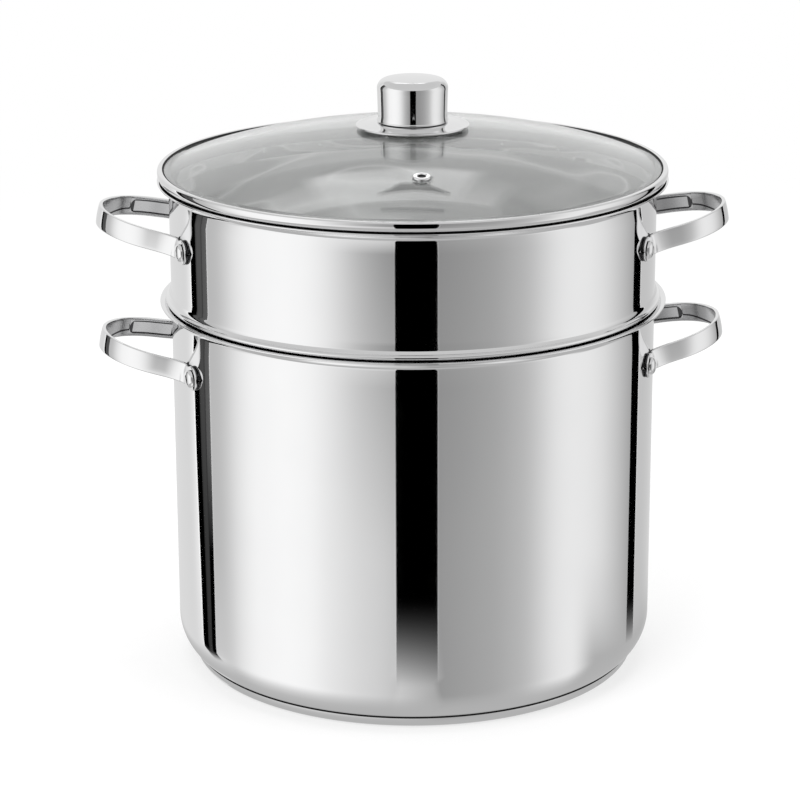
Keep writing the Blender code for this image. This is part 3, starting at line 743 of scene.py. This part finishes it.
def button(radius, height, base, flat, step):
    # outline of a low domed head, from its edge to its flat middle
    outline = []
    for angle in range(0, 91, step):
        turn = math.radians(angle)
        outline.append((radius * (flat + (1 - flat) * math.cos(turn)), base + height * math.sin(turn)))
    return outline


def rivetMesh():
    form = rivetForm
    head = footLine + strap["foot"] / 2 + wall["gap"]
    tail = wall["radius"] - wall["sheet"] - 2 * wall["gap"]
    shank = [(form["shank"], tail), (form["shank"], head)]
    tailDome = button(form["tail"], -form["tailHeight"], tail, form["tailFlat"], 15)
    headDome = button(form["head"], form["headHeight"], head, form["flat"], 10)
    return turned("rivet", tailDome[::-1] + shank + headDome, 40, closed=False, edgeAngle=40.0)


def makeHandles():
    strapShape = strapMesh()
    rivetShape = rivetMesh()
    potHeight = potForm["height"] - potForm["handleDrop"]
    insertHeight = potForm["height"] + insertForm["height"] - insertForm["handleDrop"]
    for body, height, turn in (("pot", potHeight, 0.0), ("insert", insertHeight, insertForm["turn"])):
        for side, half in (("right", 0.0), ("left", 180.0)):
            placed(body + side.capitalize() + "Handle", strapShape, body, body + "_" + side + "_handle",
                   list(strapFinishes.values()), height, turn + half)
            for end, way in (("front", -1), ("rear", 1)):
                angle = turn + half + way * rivetAngle * (1 if side == "right" else -1)
                placed(body + "Rivet" + side.capitalize() + end.capitalize(), rivetShape, body,
                       body + "_rivet_" + side + "_" + end, [knobSteel],
                       height, angle, 90.0)


# lid

lidForm = {"bandInset": 0.0002, "lift": 0.0009, "height": 0.005, "sheet": 0.0004, "tuck": 0.0007,
           "lip": 0.0027, "belly": 0.0048, "bellyLow": -36.0, "bellyHigh": 12.0, "crown": 0.0012,
           "seal": 0.0009, "sealHigh": 0.0001, "sealLow": 0.0006, "lipUnder": 0.00015,
           "seat": 0.0015, "seatEdge": 0.0002, "skirt": 0.0045, "play": 0.0006}
glassForm = {"thickness": 0.0036, "rim": 0.0034, "rise": 0.0211, "hole": 0.0035, "edgeRound": 0.0008}
ventForm = {"distance": 0.086, "azimuth": -92.3, "bore": 0.0021, "boreRound": 0.0005, "tube": 0.0033,
            "flange": 0.0047, "height": 0.0009, "edge": 0.8, "drill": 0.006}
knobForm = {"radius": 0.019, "waist": 0.0184, "height": 0.0236, "sheet": 0.0012, "post": 0.0055,
            "shoulder": 0.0052, "shoulderAngle": 82.0, "crown": 0.0010, "settle": 0.0002, "fillet": 0.045,
            "rowBend": 1.6, "upperFlare": 0.7, "upperBend": 1.5, "shoulderLean": 0.3, "thread": 0.013}
discForm = {"radius": 0.0302, "thickness": 0.0011, "seat": 0.0155, "seatStep": 0.001, "seatSink": 0.00004,
            "drop": 0.0014, "sag": 0.12}
washerForm = {"gasketRadius": 0.0135, "gasket": 0.0012, "radius": 0.011, "thickness": 0.0012, "edge": 0.0003}
screwForm = {"radius": 0.0025, "head": 0.005, "headHeight": 0.0022, "flat": 0.3}

gap = wall["gap"]
lidHeight = potForm["height"] + insertForm["height"]
bandRadius = wall["radius"] + rimForm["reach"] - lidForm["bandInset"]
glassEdge = bandRadius - lidForm["tuck"] - lidForm["sheet"] - gap
glassUnder = lidForm["lift"] + lidForm["sheet"] + gap
domeRadius = glassEdge - glassForm["rim"]
domeBall = (domeRadius ** 2 + glassForm["rise"] ** 2) / (2 * glassForm["rise"])
domeTop = glassUnder + glassForm["thickness"] + glassForm["rise"]
domeCentre = domeTop - domeBall


def domeOutline(ball, reach):
    start = math.degrees(math.acos(glassForm["hole"] / ball))
    end = math.degrees(math.acos(reach / ball))
    return arc(0, domeCentre, ball, start, end, 48)


def makeGlass():
    underBall = domeBall - glassForm["thickness"]
    underReach = math.sqrt(underBall ** 2 - (glassUnder - domeCentre) ** 2)
    soften = glassForm["edgeRound"]
    top = glassUnder + glassForm["thickness"]
    outside = arc(glassEdge - soften, glassUnder + soften, soften, -90, 0, 5)
    outside += arc(glassEdge - soften, top - soften, soften, 0, 90, 5)
    outline = outside + list(reversed(domeOutline(domeBall, domeRadius))) + domeOutline(underBall, underReach)
    glassPiece = placed("lidGlass", turned("lidGlass", outline, edgeAngle=50.0), "lid", "lid_glass",
                        [glass], lidHeight)

    middle = domeBall - glassForm["thickness"] / 2
    lean = math.asin(ventForm["distance"] / domeBall)
    ventPlace = (Matrix.Translation((0, 0, lidHeight + domeCentre))
                 @ Matrix.Rotation(math.radians(ventForm["azimuth"]), 4, "Z")
                 @ Matrix.Rotation(lean, 4, "Y") @ Matrix.Translation((0, 0, middle)))
    bore = ventForm["tube"] + gap
    bit = [(bore, -ventForm["drill"]), (bore, ventForm["drill"])]
    drill = linked("ventDrill", turned("ventDrill", bit, 48, closed=False))
    drill.matrix_world = ventPlace
    hole = glassPiece.modifiers.new("vent", "BOOLEAN")
    hole.operation = "DIFFERENCE"
    hole.solver = "EXACT"
    hole.object = drill
    bpy.context.view_layer.update()
    depsgraph = bpy.context.evaluated_depsgraph_get()
    drilled = bpy.data.meshes.new_from_object(glassPiece.evaluated_get(depsgraph))
    glassPiece.modifiers.clear()
    glassPiece.visible_shadow = False    # lamp light goes in through it
    glassPiece.data = drilled
    bpy.data.objects.remove(drill)

    seat = glassForm["thickness"] / 2 + gap
    form = ventForm
    rounding = form["height"] * form["edge"]
    flange = [(form["tube"], seat), (form["flange"], seat)]
    flange += arc(form["flange"] - rounding, seat + form["height"] - rounding, rounding, 0, 90, 6)
    inner = form["boreRound"]
    flange += arc(form["bore"] + inner, seat + form["height"] - inner, inner, 90, 180, 5)
    outline = flange + [(radius, -height) for radius, height in reversed(flange)]
    eyelet = placed("ventEyelet", turned("ventEyelet", outline, 64), "lid", "vent_eyelet",
                    [knobSteel])
    eyelet.matrix_world = ventPlace


def makeBand():
    # channel folded round the glass over a seat and a skirt, and the line of sealer inside its lip; from the
    # sealer on, its hidden faces are near-black, painted shade in the crevices over the glass and the rim
    form = lidForm
    sheet = form["sheet"]
    top = form["lift"] + form["height"]
    bellyX = bandRadius - form["belly"]
    crownTurn = math.radians(form["bellyHigh"])
    crownZ = top - form["crown"]
    bellyZ = crownZ + (form["crown"] - form["belly"]) * math.sin(crownTurn)
    crownX = bellyX + (form["belly"] - form["crown"]) * math.cos(crownTurn)
    lip = bandRadius - form["lip"]
    skirt = wall["radius"] - wall["sheet"] - form["play"]
    seatX = wall["radius"] + form["seat"]
    seatZ = math.sqrt(seatRadius ** 2 - (flareLine - seatX) ** 2) - flareDrop
    belly = arc(bellyX, bellyZ, form["belly"], form["bellyLow"], form["bellyHigh"], 14)
    crown = arc(crownX, crownZ, form["crown"], form["bellyHigh"], 90, 12)
    bead = arc(lip + sheet / 2, top - sheet / 2, sheet / 2, 90, 180, 4)
    shown = belly + crown[1:] + bead
    sealTop = top - sheet - form["sealHigh"]
    sealFoot = top - sheet - form["sealLow"]
    sealed = [(lip, sealTop), (lip - form["seal"], sealTop), (lip - form["seal"], sealFoot)]
    lowX, lowZ = belly[0]
    hidden = [(lip, sealFoot), (lip, top - sheet - form["lipUnder"]),
              (crownX, top - sheet), (bandRadius - sheet, crownZ), (lowX - sheet, lowZ + sheet),
              (skirt - sheet, lowZ + sheet)]
    hidden += arc(skirt - sheet / 2, sheet / 2 - form["skirt"], sheet / 2, 180, 360, 6)
    hidden += [(skirt, seatZ), (seatX - form["seatEdge"], seatZ), (seatX, seatZ + form["seatEdge"]),
               (seatX, lowZ)]
    # painted shade: near-black from the sealer on
    dark = len(thinned(shown)) - 1
    mesh = turned("lidBand", shown + sealed + hidden, secondFrom=dark, edgeAngle=40.0)
    placed("lidBand", mesh, "lid", "lid_band", [mirror, fold], lidHeight)


def washer(name, node, bottom, thickness, radius, material):
    hole = screwForm["radius"] + gap
    soften = washerForm["edge"]
    outline = [(hole, bottom)] + arc(radius - soften, bottom + soften, soften, -90, 0, 4)
    outline += arc(radius - soften, bottom + thickness - soften, soften, 0, 90, 4)
    outline += [(hole, bottom + thickness)]
    placed(name, turned(name, outline, 96), "lid", node, [material], lidHeight)


def makeKnob():
    gasketBottom = domeTop + gap
    discBottom = gasketBottom + washerForm["gasket"] + gap
    discTop = discBottom + discForm["thickness"]
    knobBottom = discTop + gap
    knobTop = knobBottom + knobForm["height"]
    hole = screwForm["radius"] + gap
    washer("upperGasket", "upper_gasket", gasketBottom, washerForm["gasket"], washerForm["gasketRadius"],
           silicone)

    form = discForm
    seatZ = discTop - form["seatSink"]
    edgeZ = discTop - form["drop"] - form["thickness"] / 2
    half = form["thickness"] / 2
    above = []
    for i in range(1, 12):
        share = i / 12
        fall = smooth(share) + form["sag"] * math.sin(math.pi * share ** 3)
        above.append((form["seat"] + (form["radius"] - half - form["seat"]) * share,
                      seatZ - form["drop"] * fall))
    seatEnd = form["seat"] - form["seatStep"]
    disc = [(hole, discBottom), (seatEnd, discBottom)]
    disc += [(x, z - form["thickness"]) for x, z in above]
    disc += arc(form["radius"] - half, edgeZ, half, -90, 90, 12)
    disc += list(reversed(above)) + [(form["seat"], seatZ), (seatEnd, discTop), (hole, discTop)]
    placed("knobDisc", turned("knobDisc", disc, 160), "lid", "knob_flange",
           [knobSteel], lidHeight)

    form = knobForm
    shoulderX = form["radius"] - form["shoulder"]
    shoulderZ = knobTop - form["crown"] - form["shoulder"]
    fold = form["sheet"] / 2
    foot = knobBottom - form["settle"]
    skin = arc(form["radius"] - fold, foot + fold, fold, -90, 20, 8)
    belly = form["radius"] - form["waist"]
    for i in range(1, 30):
        share = (i / 30) ** form["rowBend"]
        flare = math.exp(-share / form["fillet"]) + form["upperFlare"] * share ** form["upperBend"]
        skin.append((form["waist"] + belly * min(1.0, flare),
                     foot + fold + (shoulderZ - foot - fold) * share))
    shoulderX -= form["shoulderLean"] * belly
    skin += arc(shoulderX, shoulderZ, form["shoulder"], 0, form["shoulderAngle"], 18)
    crown = []
    endX, endZ = skin[-1]
    turn = math.radians(form["shoulderAngle"])
    crownBall = endX / math.cos(turn)
    for i in range(1, 13):
        lift = form["shoulderAngle"] + (90 - form["shoulderAngle"]) * i / 12.5
        crown.append((crownBall * math.cos(math.radians(lift)),
                      endZ + crownBall * (math.sin(math.radians(lift)) - math.sin(turn))))
    top = crown[-1][1]
    crown = [(x, endZ + (z - endZ) * (knobTop - endZ) / (top - endZ)) for x, z in crown]
    waist = form["waist"] - form["sheet"]
    hollow = [(form["post"], knobTop - 2 * form["sheet"]),
              (shoulderX, shoulderZ + form["shoulder"] - form["sheet"]),
              (waist, shoulderZ), (waist, foot)]
    post = [(hole, knobBottom + form["thread"]), (hole, knobBottom), (form["post"], knobBottom)]
    placed("knob", turned("knob", post + hollow + skin + crown, 160, closed=False), "lid", "knob",
           [knobSteel], lidHeight)

    under = domeTop - glassForm["thickness"]
    underBall = domeBall - glassForm["thickness"]
    sag = under - domeCentre - math.sqrt(underBall ** 2 - washerForm["radius"] ** 2)
    gasketLow = under - sag - gap - washerForm["gasket"]
    washerLow = gasketLow - gap - washerForm["thickness"]
    washer("lowerGasket", "lower_gasket", gasketLow, washerForm["gasket"], washerForm["radius"],
           silicone)
    washer("lowerWasher", "lower_washer", washerLow, washerForm["thickness"], washerForm["radius"],
           satin)
    headTop = washerLow - gap
    head = button(screwForm["head"], -screwForm["headHeight"], headTop, screwForm["flat"], 15)[::-1]
    shank = [(screwForm["radius"], headTop), (screwForm["radius"], knobBottom + form["thread"] - gap)]
    placed("knobScrew", turned("knobScrew", head + shank, 64, closed=False, edgeAngle=40.0), "lid",
           "knob_screw", [satin], lidHeight)


makePot()
makeBase()
print("pot made")
makeInsert()
print("strainer insert made")
makeHandles()
print("handles and rivets made")
makeGlass()
makeBand()
makeKnob()
print("lid made")


# studio

view = {"azimuth": -95.3, "distance": 1.48541, "height": 0.59448, "pitch": 73.035, "roll": -0.0024,
        "lens": 127.946, "shift": -0.01657}


def fromCamera(angle, radius, height):
    # a point round the axis, its angle counted from the camera's side
    heading = math.radians(angle + view["azimuth"])
    return (radius * math.cos(heading), radius * math.sin(heading), height)


def makeCamera():
    camera = linked("camera", bpy.data.cameras.new("camera"))
    aim = Matrix.Rotation(math.radians(view["azimuth"]) + math.pi / 2, 4, "Z")
    aim = aim @ Matrix.Rotation(math.radians(view["pitch"]), 4, "X") @ Matrix.Rotation(view["roll"], 4, "Z")
    camera.matrix_world = Matrix.Translation(fromCamera(0, view["distance"], view["height"])) @ aim
    camera.data.lens = view["lens"]
    camera.data.sensor_width = 36.0
    camera.data.shift_x = view["shift"]
    camera.data.clip_end = 100.0
    bpy.context.scene.camera = camera


# screens round the table, with dark slits between them
tentForm = {"radius": 8.0, "low": -6.0, "calm": -3.6, "foot": -2.80, "middle": -2.42, "head": -1.75,
            "steady": -0.3, "behindFoot": 0.4, "level": 4.6, "panel": 5.6, "high": 8.0,
            "calmLean": 1.4, "footLean": 0.6, "middleLean": 0.25,
            "upper": 0.66, "floor": 0.5, "ceiling": 0.64, "slit": 0.2, "hair": 0.02,
            "border": 0.5, "meet": 0.1, "soften": 4,
            "behind": 0.85, "behindFrom": 140.0, "behindOver": 25.0,
            "panelLevel": 1.5, "panelBlend": 0.3, "panelFoot": (11.0, 7.0), "panelHead": (20.0, 11.0)}
calmForm = {"left": 92.0, "right": 80.0, "over": 18.0}
calmStops = [(-180, 0.63), (-150, 0.77), (-1, 0.77), (1, 0.49), (150, 0.49), (180, 0.63)]
leanStops = [(-180, 0.0), (-140, 0.0), (-128, 4.2), (-121, 3.6), (-116, 1.2), (-110, 0.0), (180, 0.0)]
# cards before the screens; each point has its angle off the back, and its height or radius
cards = [
    {"level": 0.03, "radius": 7.9,
     "points": [(4.3, 7.35), (2.4, 6.85), (1.3, 6.48), (-0.9, 6.44), (-2.4, 6.78), (-4.3, 7.2), (-4.3, 7.3),
                (-2, 7.12), (0, 7.06), (2.2, 7.16)]},
    {"level": 0.95, "height": 7.98, "points": [(20, 8.0), (25, 6.2), (-14, 6.2), (-11, 8.0)]},
    {"level": 0.03, "height": 7.95,
     "points": [(4.2, 7.42), (4.2, 7.22), (0, 7.14), (-4.2, 7.10), (-4.2, 7.30), (0, 7.36)]},
]
# how bright at each angle, the level of the borders along the slits, and the shade: from one angle to another
# the level at the foot and at the head changes by two shares
screens = [
    {"levels": [(-180, 0.76), (-134, 0.76), (-129, 0.88), (-127.7, 1.1)], "borders": (None, 1.3)},
    {"levels": [(-122.2, 0.05), (-119.8, 0.12), (-118, 0.12), (-116.2, 0.05)], "borders": (None, None),
     "shade": (-125, -124, 0.45, 1.0)},
    {"levels": [(-116.1, 0.10), (-112.0, 0.12)], "borders": (None, None), "shade": (-119, -118, 0.0, 1.0)},
    {"levels": [(-111.9, 0.57), (-107, 0.55), (-100, 0.65), (-91, 0.88), (-81, 1.04), (-63, 1.09),
                (-50, 1.05), (-40, 0.92), (-25, 0.68), (-8.2, 0.50)],
     "borders": (0.75, 0.55), "shade": (-44, -8, 1.25, 0.67)},
    {"levels": [(11.2, 0.33), (24, 0.37), (39, 0.43), (54, 0.555), (62, 0.71), (70, 0.87), (79, 0.93),
                (90, 0.91), (100, 0.83), (113, 0.63), (126.2, 0.42)],
     "borders": (0.42, 0.46), "shade": (60, 20, 1.05, 0.92)},
    {"levels": [(134.8, 0.60), (145, 0.60), (155, 0.64), (180, 0.76)], "borders": (0.95, None)},
]


def levelOn(stops, angle):
    for (before, low), (after, high) in zip(stops, stops[1:]):
        if before <= angle <= after:
            return low + (high - low) * (angle - before) / (after - before)
    return stops[-1][1]


def screenStops(screen):
    # (angle, level) about every degree and evened out, with a border along each slit
    stops = screen["levels"]
    first = stops[0][0]
    last = stops[-1][0]
    count = max(2, round(last - first))
    angles = [first + (last - first) * i / count for i in range(count + 1)]
    levels = [levelOn(stops, angle) for angle in angles]
    points = []
    for i, angle in enumerate(angles):
        wide = min(tentForm["soften"], i, len(levels) - 1 - i)
        near = levels[i - wide:i + wide + 1]
        points.append((angle, sum(near) / len(near)))
    left, right = screen["borders"]
    meet = tentForm["meet"]
    if left:
        start = first + tentForm["border"]
        inside = [point for point in points if point[0] > start + 2 * meet]
        points = [(first, left), (start, left), (start + meet, levelOn(points, start))] + inside
    if right:
        end = last - tentForm["border"]
        inside = [point for point in points if point[0] < end - 2 * meet]
        points = inside + [(end - meet, levelOn(points, end)), (end, right), (last, right)]
    return points


def shadeAt(screen, angle):
    # how the level at this angle changes at the foot and at the head of a screen
    if "shade" not in screen:
        return 1.0, 1.0
    start, end, foot, head = screen["shade"]
    share = smooth((angle - start) / (end - start))
    return 1 + (foot - 1) * share, 1 + (head - 1) * share


def tentStops():
    # (angle, level at the foot, level at the head), with slits that fall to nothing within a hair
    stops = []
    for screen in screens:
        points = screenStops(screen)
        stops.append((points[0][0] - tentForm["hair"], 0.0, 0.0))
        for angle, level in points:
            foot, head = shadeAt(screen, angle)
            stops.append((angle, level * foot, level * head))
        stops.append((points[-1][0] + tentForm["hair"], 0.0, 0.0))
    return stops[1:-1]


def behindLevel(angle, level):
    # screens above the rim and behind the pot are brighter
    share = smooth((abs(angle) - tentForm["behindFrom"]) / tentForm["behindOver"])
    return level + (tentForm["behind"] - level) * share


def middleLevel(foot, head):
    # halfway up, where the grey part of a slit is already at its full level
    share = (tentForm["middle"] - tentForm["foot"]) / (tentForm["head"] - tentForm["foot"])
    return head if foot == 0 else foot + (head - foot) * share


def calmLevel(angle, level):
    # under the wall's foot the screens at the sides are even; slits stay dark
    if level <= tentForm["slit"]:
        return level
    start = calmForm["left" if angle < 0 else "right"]
    return level + (levelOn(calmStops, angle) - level) * smooth((abs(angle) - start) / calmForm["over"])


def panelAt(angle, halves):
    # a bright panel high behind, wider to the left and at its head
    inside = halves[0 if angle < 0 else 1] - (180 - abs(angle))
    return tentForm["upper"] + (tentForm["panelLevel"] - tentForm["upper"]) * smooth(inside / 2)


def glowing(name, cloth, verts, faces, levels):
    # seen only in polished steel and glass: its points say how bright and, maybe, how covering it is
    mesh = bpy.data.meshes.new(name)
    mesh.from_pydata(verts, [], faces)
    finish = Finish(cloth)
    finish.tree.nodes.remove(finish.shader)
    shares = {}
    for kind, values in levels.items():
        mesh.attributes.new(kind, "FLOAT", "POINT").data.foreach_set("value", values)
        shares[kind] = finish.node("Attribute", {"attribute_name": kind}, output="Fac")
    surface = finish.node("Emission", None, {"Color": shares["glow"]})
    if "cover" in shares:
        clear = finish.node("BsdfTransparent")
        surface = finish.node("MixShader", None, {0: shares["cover"], 1: clear, 2: surface})
    finish.feed(finish.out.inputs["Surface"], surface)
    finish.material.cycles.emission_sampling = "NONE"
    mesh.materials.append(finish.material)
    stageObject(name, mesh, mirrored=True)


def stageObject(name, mesh, mirrored):
    # either mirrored and nothing else, or seen directly and never mirrored
    thing = linked(name, mesh)
    thing.visible_camera = not mirrored
    thing.visible_diffuse = not mirrored
    thing.visible_shadow = not mirrored
    thing.visible_glossy = mirrored
    thing.visible_transmission = mirrored
    thing.visible_volume_scatter = False


def makeTent():
    stops = tentStops()
    form = tentForm
    # height, how far the left slit leans in, level
    rows = [(form["low"], form["calmLean"], lambda stop: calmLevel(stop[0], stop[1])),
            (form["calm"], form["calmLean"], lambda stop: calmLevel(stop[0], stop[1])),
            (form["foot"], form["footLean"], lambda stop: stop[1]),
            (form["middle"], form["middleLean"], lambda stop: middleLevel(stop[1], stop[2])),
            (form["head"], 0.0, lambda stop: stop[2]),
            (form["steady"], 0.0, lambda stop: stop[2]),
            (form["behindFoot"], 0.0, lambda stop: behindLevel(stop[0], stop[2])),
            (form["level"], 0.0, lambda stop: behindLevel(stop[0], stop[2])),
            (form["level"] + form["hair"], 0.0, lambda stop: form["upper"]),
            (form["panel"] - form["panelBlend"], 0.0, lambda stop: form["upper"]),
            (form["panel"], 0.0, lambda stop: panelAt(stop[0], form["panelFoot"])),
            (form["high"], 0.0, lambda stop: panelAt(stop[0], form["panelHead"])),
            (form["low"], 0.0, lambda stop: form["floor"]),
            (form["high"], 0.0, lambda stop: form["ceiling"])]
    verts = []
    glow = []
    rings = []
    for height, lean, levelFor in rows:
        first = len(verts)
        for stop in stops:
            angle = stop[0] + lean * levelOn(leanStops, stop[0])
            verts.append(fromCamera(angle, form["radius"], height))
            glow.append(levelFor(stop))
        rings.append(range(first, len(verts)))
    faces = []
    for low, high in zip(rings, rings[1:-2]):
        faces += quads(low, high, closed=False)
    # the last two rows bound the floor and the ceiling
    faces += [tuple(rings[-2]), tuple(rings[-1])]

    for card in cards:
        first = len(verts)
        for side, other in card["points"]:
            verts.append(fromCamera(180 + side, card.get("radius", other), card.get("height", other)))
            glow.append(card["level"])
        faces.append(tuple(range(first, len(verts))))
    glowing("studioTent", "tentCloth", verts, faces, {"glow": glow})


floorForm = {"radius": 12.0, "sides": 96, "drop": 0.0002,
             "nearWhite": 0.62, "whiteFrom": 0.45, "whiteTo": 1.3}
nearForm = {"inner": 0.122, "outer": 0.335, "rows": 28, "steps": 180, "bend": 2.8, "clear": 0.002,
            "footLevel": 0.50, "footFrom": 0.160, "footTo": 0.122,
            "reach": [(-180, 0.168), (-112, 0.168), (-60, 0.335), (60, 0.335), (110, 0.25), (132, 0.215),
                      (180, 0.21)],
            "solid": [(-180, 0.147), (-112, 0.147), (-60, 0.195), (60, 0.195), (110, 0.170), (132, 0.158),
                      (180, 0.158)]}


def makeFloor():
    pale = Finish("tableTop", {"Roughness": 0.9, "Specular IOR Level": 0.0})
    paper = pale.noise(pale.place(), 60.0, 3.0)
    pale.drive(Base_Color=pale.blend(paper, (0.93, 0.93, 0.93, 1), (0.95, 0.95, 0.95, 1)))
    white = pale.node("Emission", None, {"Strength": 1.0})
    away = pale.node("VectorMath", {"operation": "LENGTH"}, {0: pale.node("TexCoord", output="Object")},
                     output="Value")
    share = pale.node("MapRange", {"interpolation_type": "SMOOTHSTEP"},
                      {"Value": away, "From Min": floorForm["whiteFrom"], "From Max": floorForm["whiteTo"],
                       "To Min": floorForm["nearWhite"], "To Max": 1.0})
    lit = Wire(pale, pale.shader.outputs[0])
    surface = pale.node("MixShader", None, {0: pale.seen() * share, 1: lit, 2: white})
    pale.feed(pale.out.inputs["Surface"], surface)
    pale.material.cycles.emission_sampling = "NONE"
    table = bpy.data.meshes.new("tableTop")
    edge = circle(floorForm["radius"], -floorForm["drop"], floorForm["sides"])
    table.from_pydata(edge, [], [tuple(range(len(edge)))])
    table.materials.append(pale.material)
    stageObject("tableTop", table, mirrored=False)


def mirroredAngle(azimuth, radius):
    # the way the wall sends the camera's look that meets the table in this place, found step by step
    base = wall["radius"]
    spot = math.radians(azimuth)
    lean = 0.8 * spot
    for _ in range(24):
        run = math.sqrt(max(0.0, radius ** 2 - (base * math.sin(lean)) ** 2)) - base * math.cos(lean)
        lean += 0.6 * (spot - lean - math.atan2(run * math.sin(lean), base + run * math.cos(lean)))
    return max(-180.0, min(180.0, 2 * math.degrees(lean)))


def makeNearTable():
    # the part of the table that the pot's foot mirrors: it takes up the screens' levels and hides their slits
    form = nearForm
    stops = [(angle, foot) for angle, foot, _ in tentStops() if foot > tentForm["slit"]]
    verts = []
    glow = []
    cover = []
    rings = []
    for row in range(form["rows"] + 1):
        radius = form["inner"] + (form["outer"] - form["inner"]) * row / form["rows"]
        near = (form["footFrom"] - radius) / (form["footFrom"] - form["footTo"])
        first = len(verts)
        for step in range(form["steps"]):
            angle = -180 + 360 * step / form["steps"]
            verts.append(fromCamera(angle, radius, -floorForm["drop"] / 2))
            mirrored = mirroredAngle(angle, max(radius, wall["radius"] + form["clear"]))
            level = calmLevel(mirrored, levelOn(stops, mirrored))
            glow.append(level + (form["footLevel"] - level) * smooth(near))
            reach = levelOn(form["reach"], mirrored)
            share = (reach - radius) / (reach - levelOn(form["solid"], mirrored))
            cover.append(min(1.0, max(0.0, share)) ** form["bend"])
        rings.append(range(first, len(verts)))
    faces = [face for low, high in zip(rings, rings[1:]) for face in quads(low, high)]
    glowing("tableNear", "tableNear", verts, faces, {"glow": glow, "cover": cover})


airLevels = {"unseen": 0.45, "seen": 1.0}
lampAim = (0, 0, 0.12)
lamps = [
    {"name": "keyLamp", "at": (-1.4, -1.6, 2.2), "size": 1.6, "power": 42.0},
    {"name": "fillLamp", "at": (1.8, -1.0, 1.8), "size": 1.8, "power": 26.0},
    {"name": "topLamp", "at": (0.0, 0.5, 2.6), "size": 2.0, "power": 38.0},
]


def makeLamps():
    for form in lamps:
        light = bpy.data.lights.new(form["name"], "AREA")
        light.size = form["size"]
        light.energy = form["power"]
        lamp = linked(form["name"], light)
        lamp.location = form["at"]
        aim = Vector(lampAim) - lamp.location
        lamp.rotation_euler = aim.to_track_quat("-Z", "Y").to_euler()
        lamp.visible_glossy = False
        lamp.visible_camera = False
        lamp.visible_transmission = False

    world = bpy.data.worlds.new("studio")
    bpy.context.scene.world = world
    world.use_nodes = True
    air = Nodes(world.node_tree)
    level = air.node("MapRange", None, {"Value": air.seen(), "To Min": airLevels["unseen"],
                                        "To Max": airLevels["seen"]})
    air.feed(air.tree.nodes["Background"].inputs["Color"], level)


makeCamera()
makeFloor()
makeNearTable()
makeTent()
makeLamps()
bpy.context.scene.view_settings.view_transform = "Standard"
print("studio made")
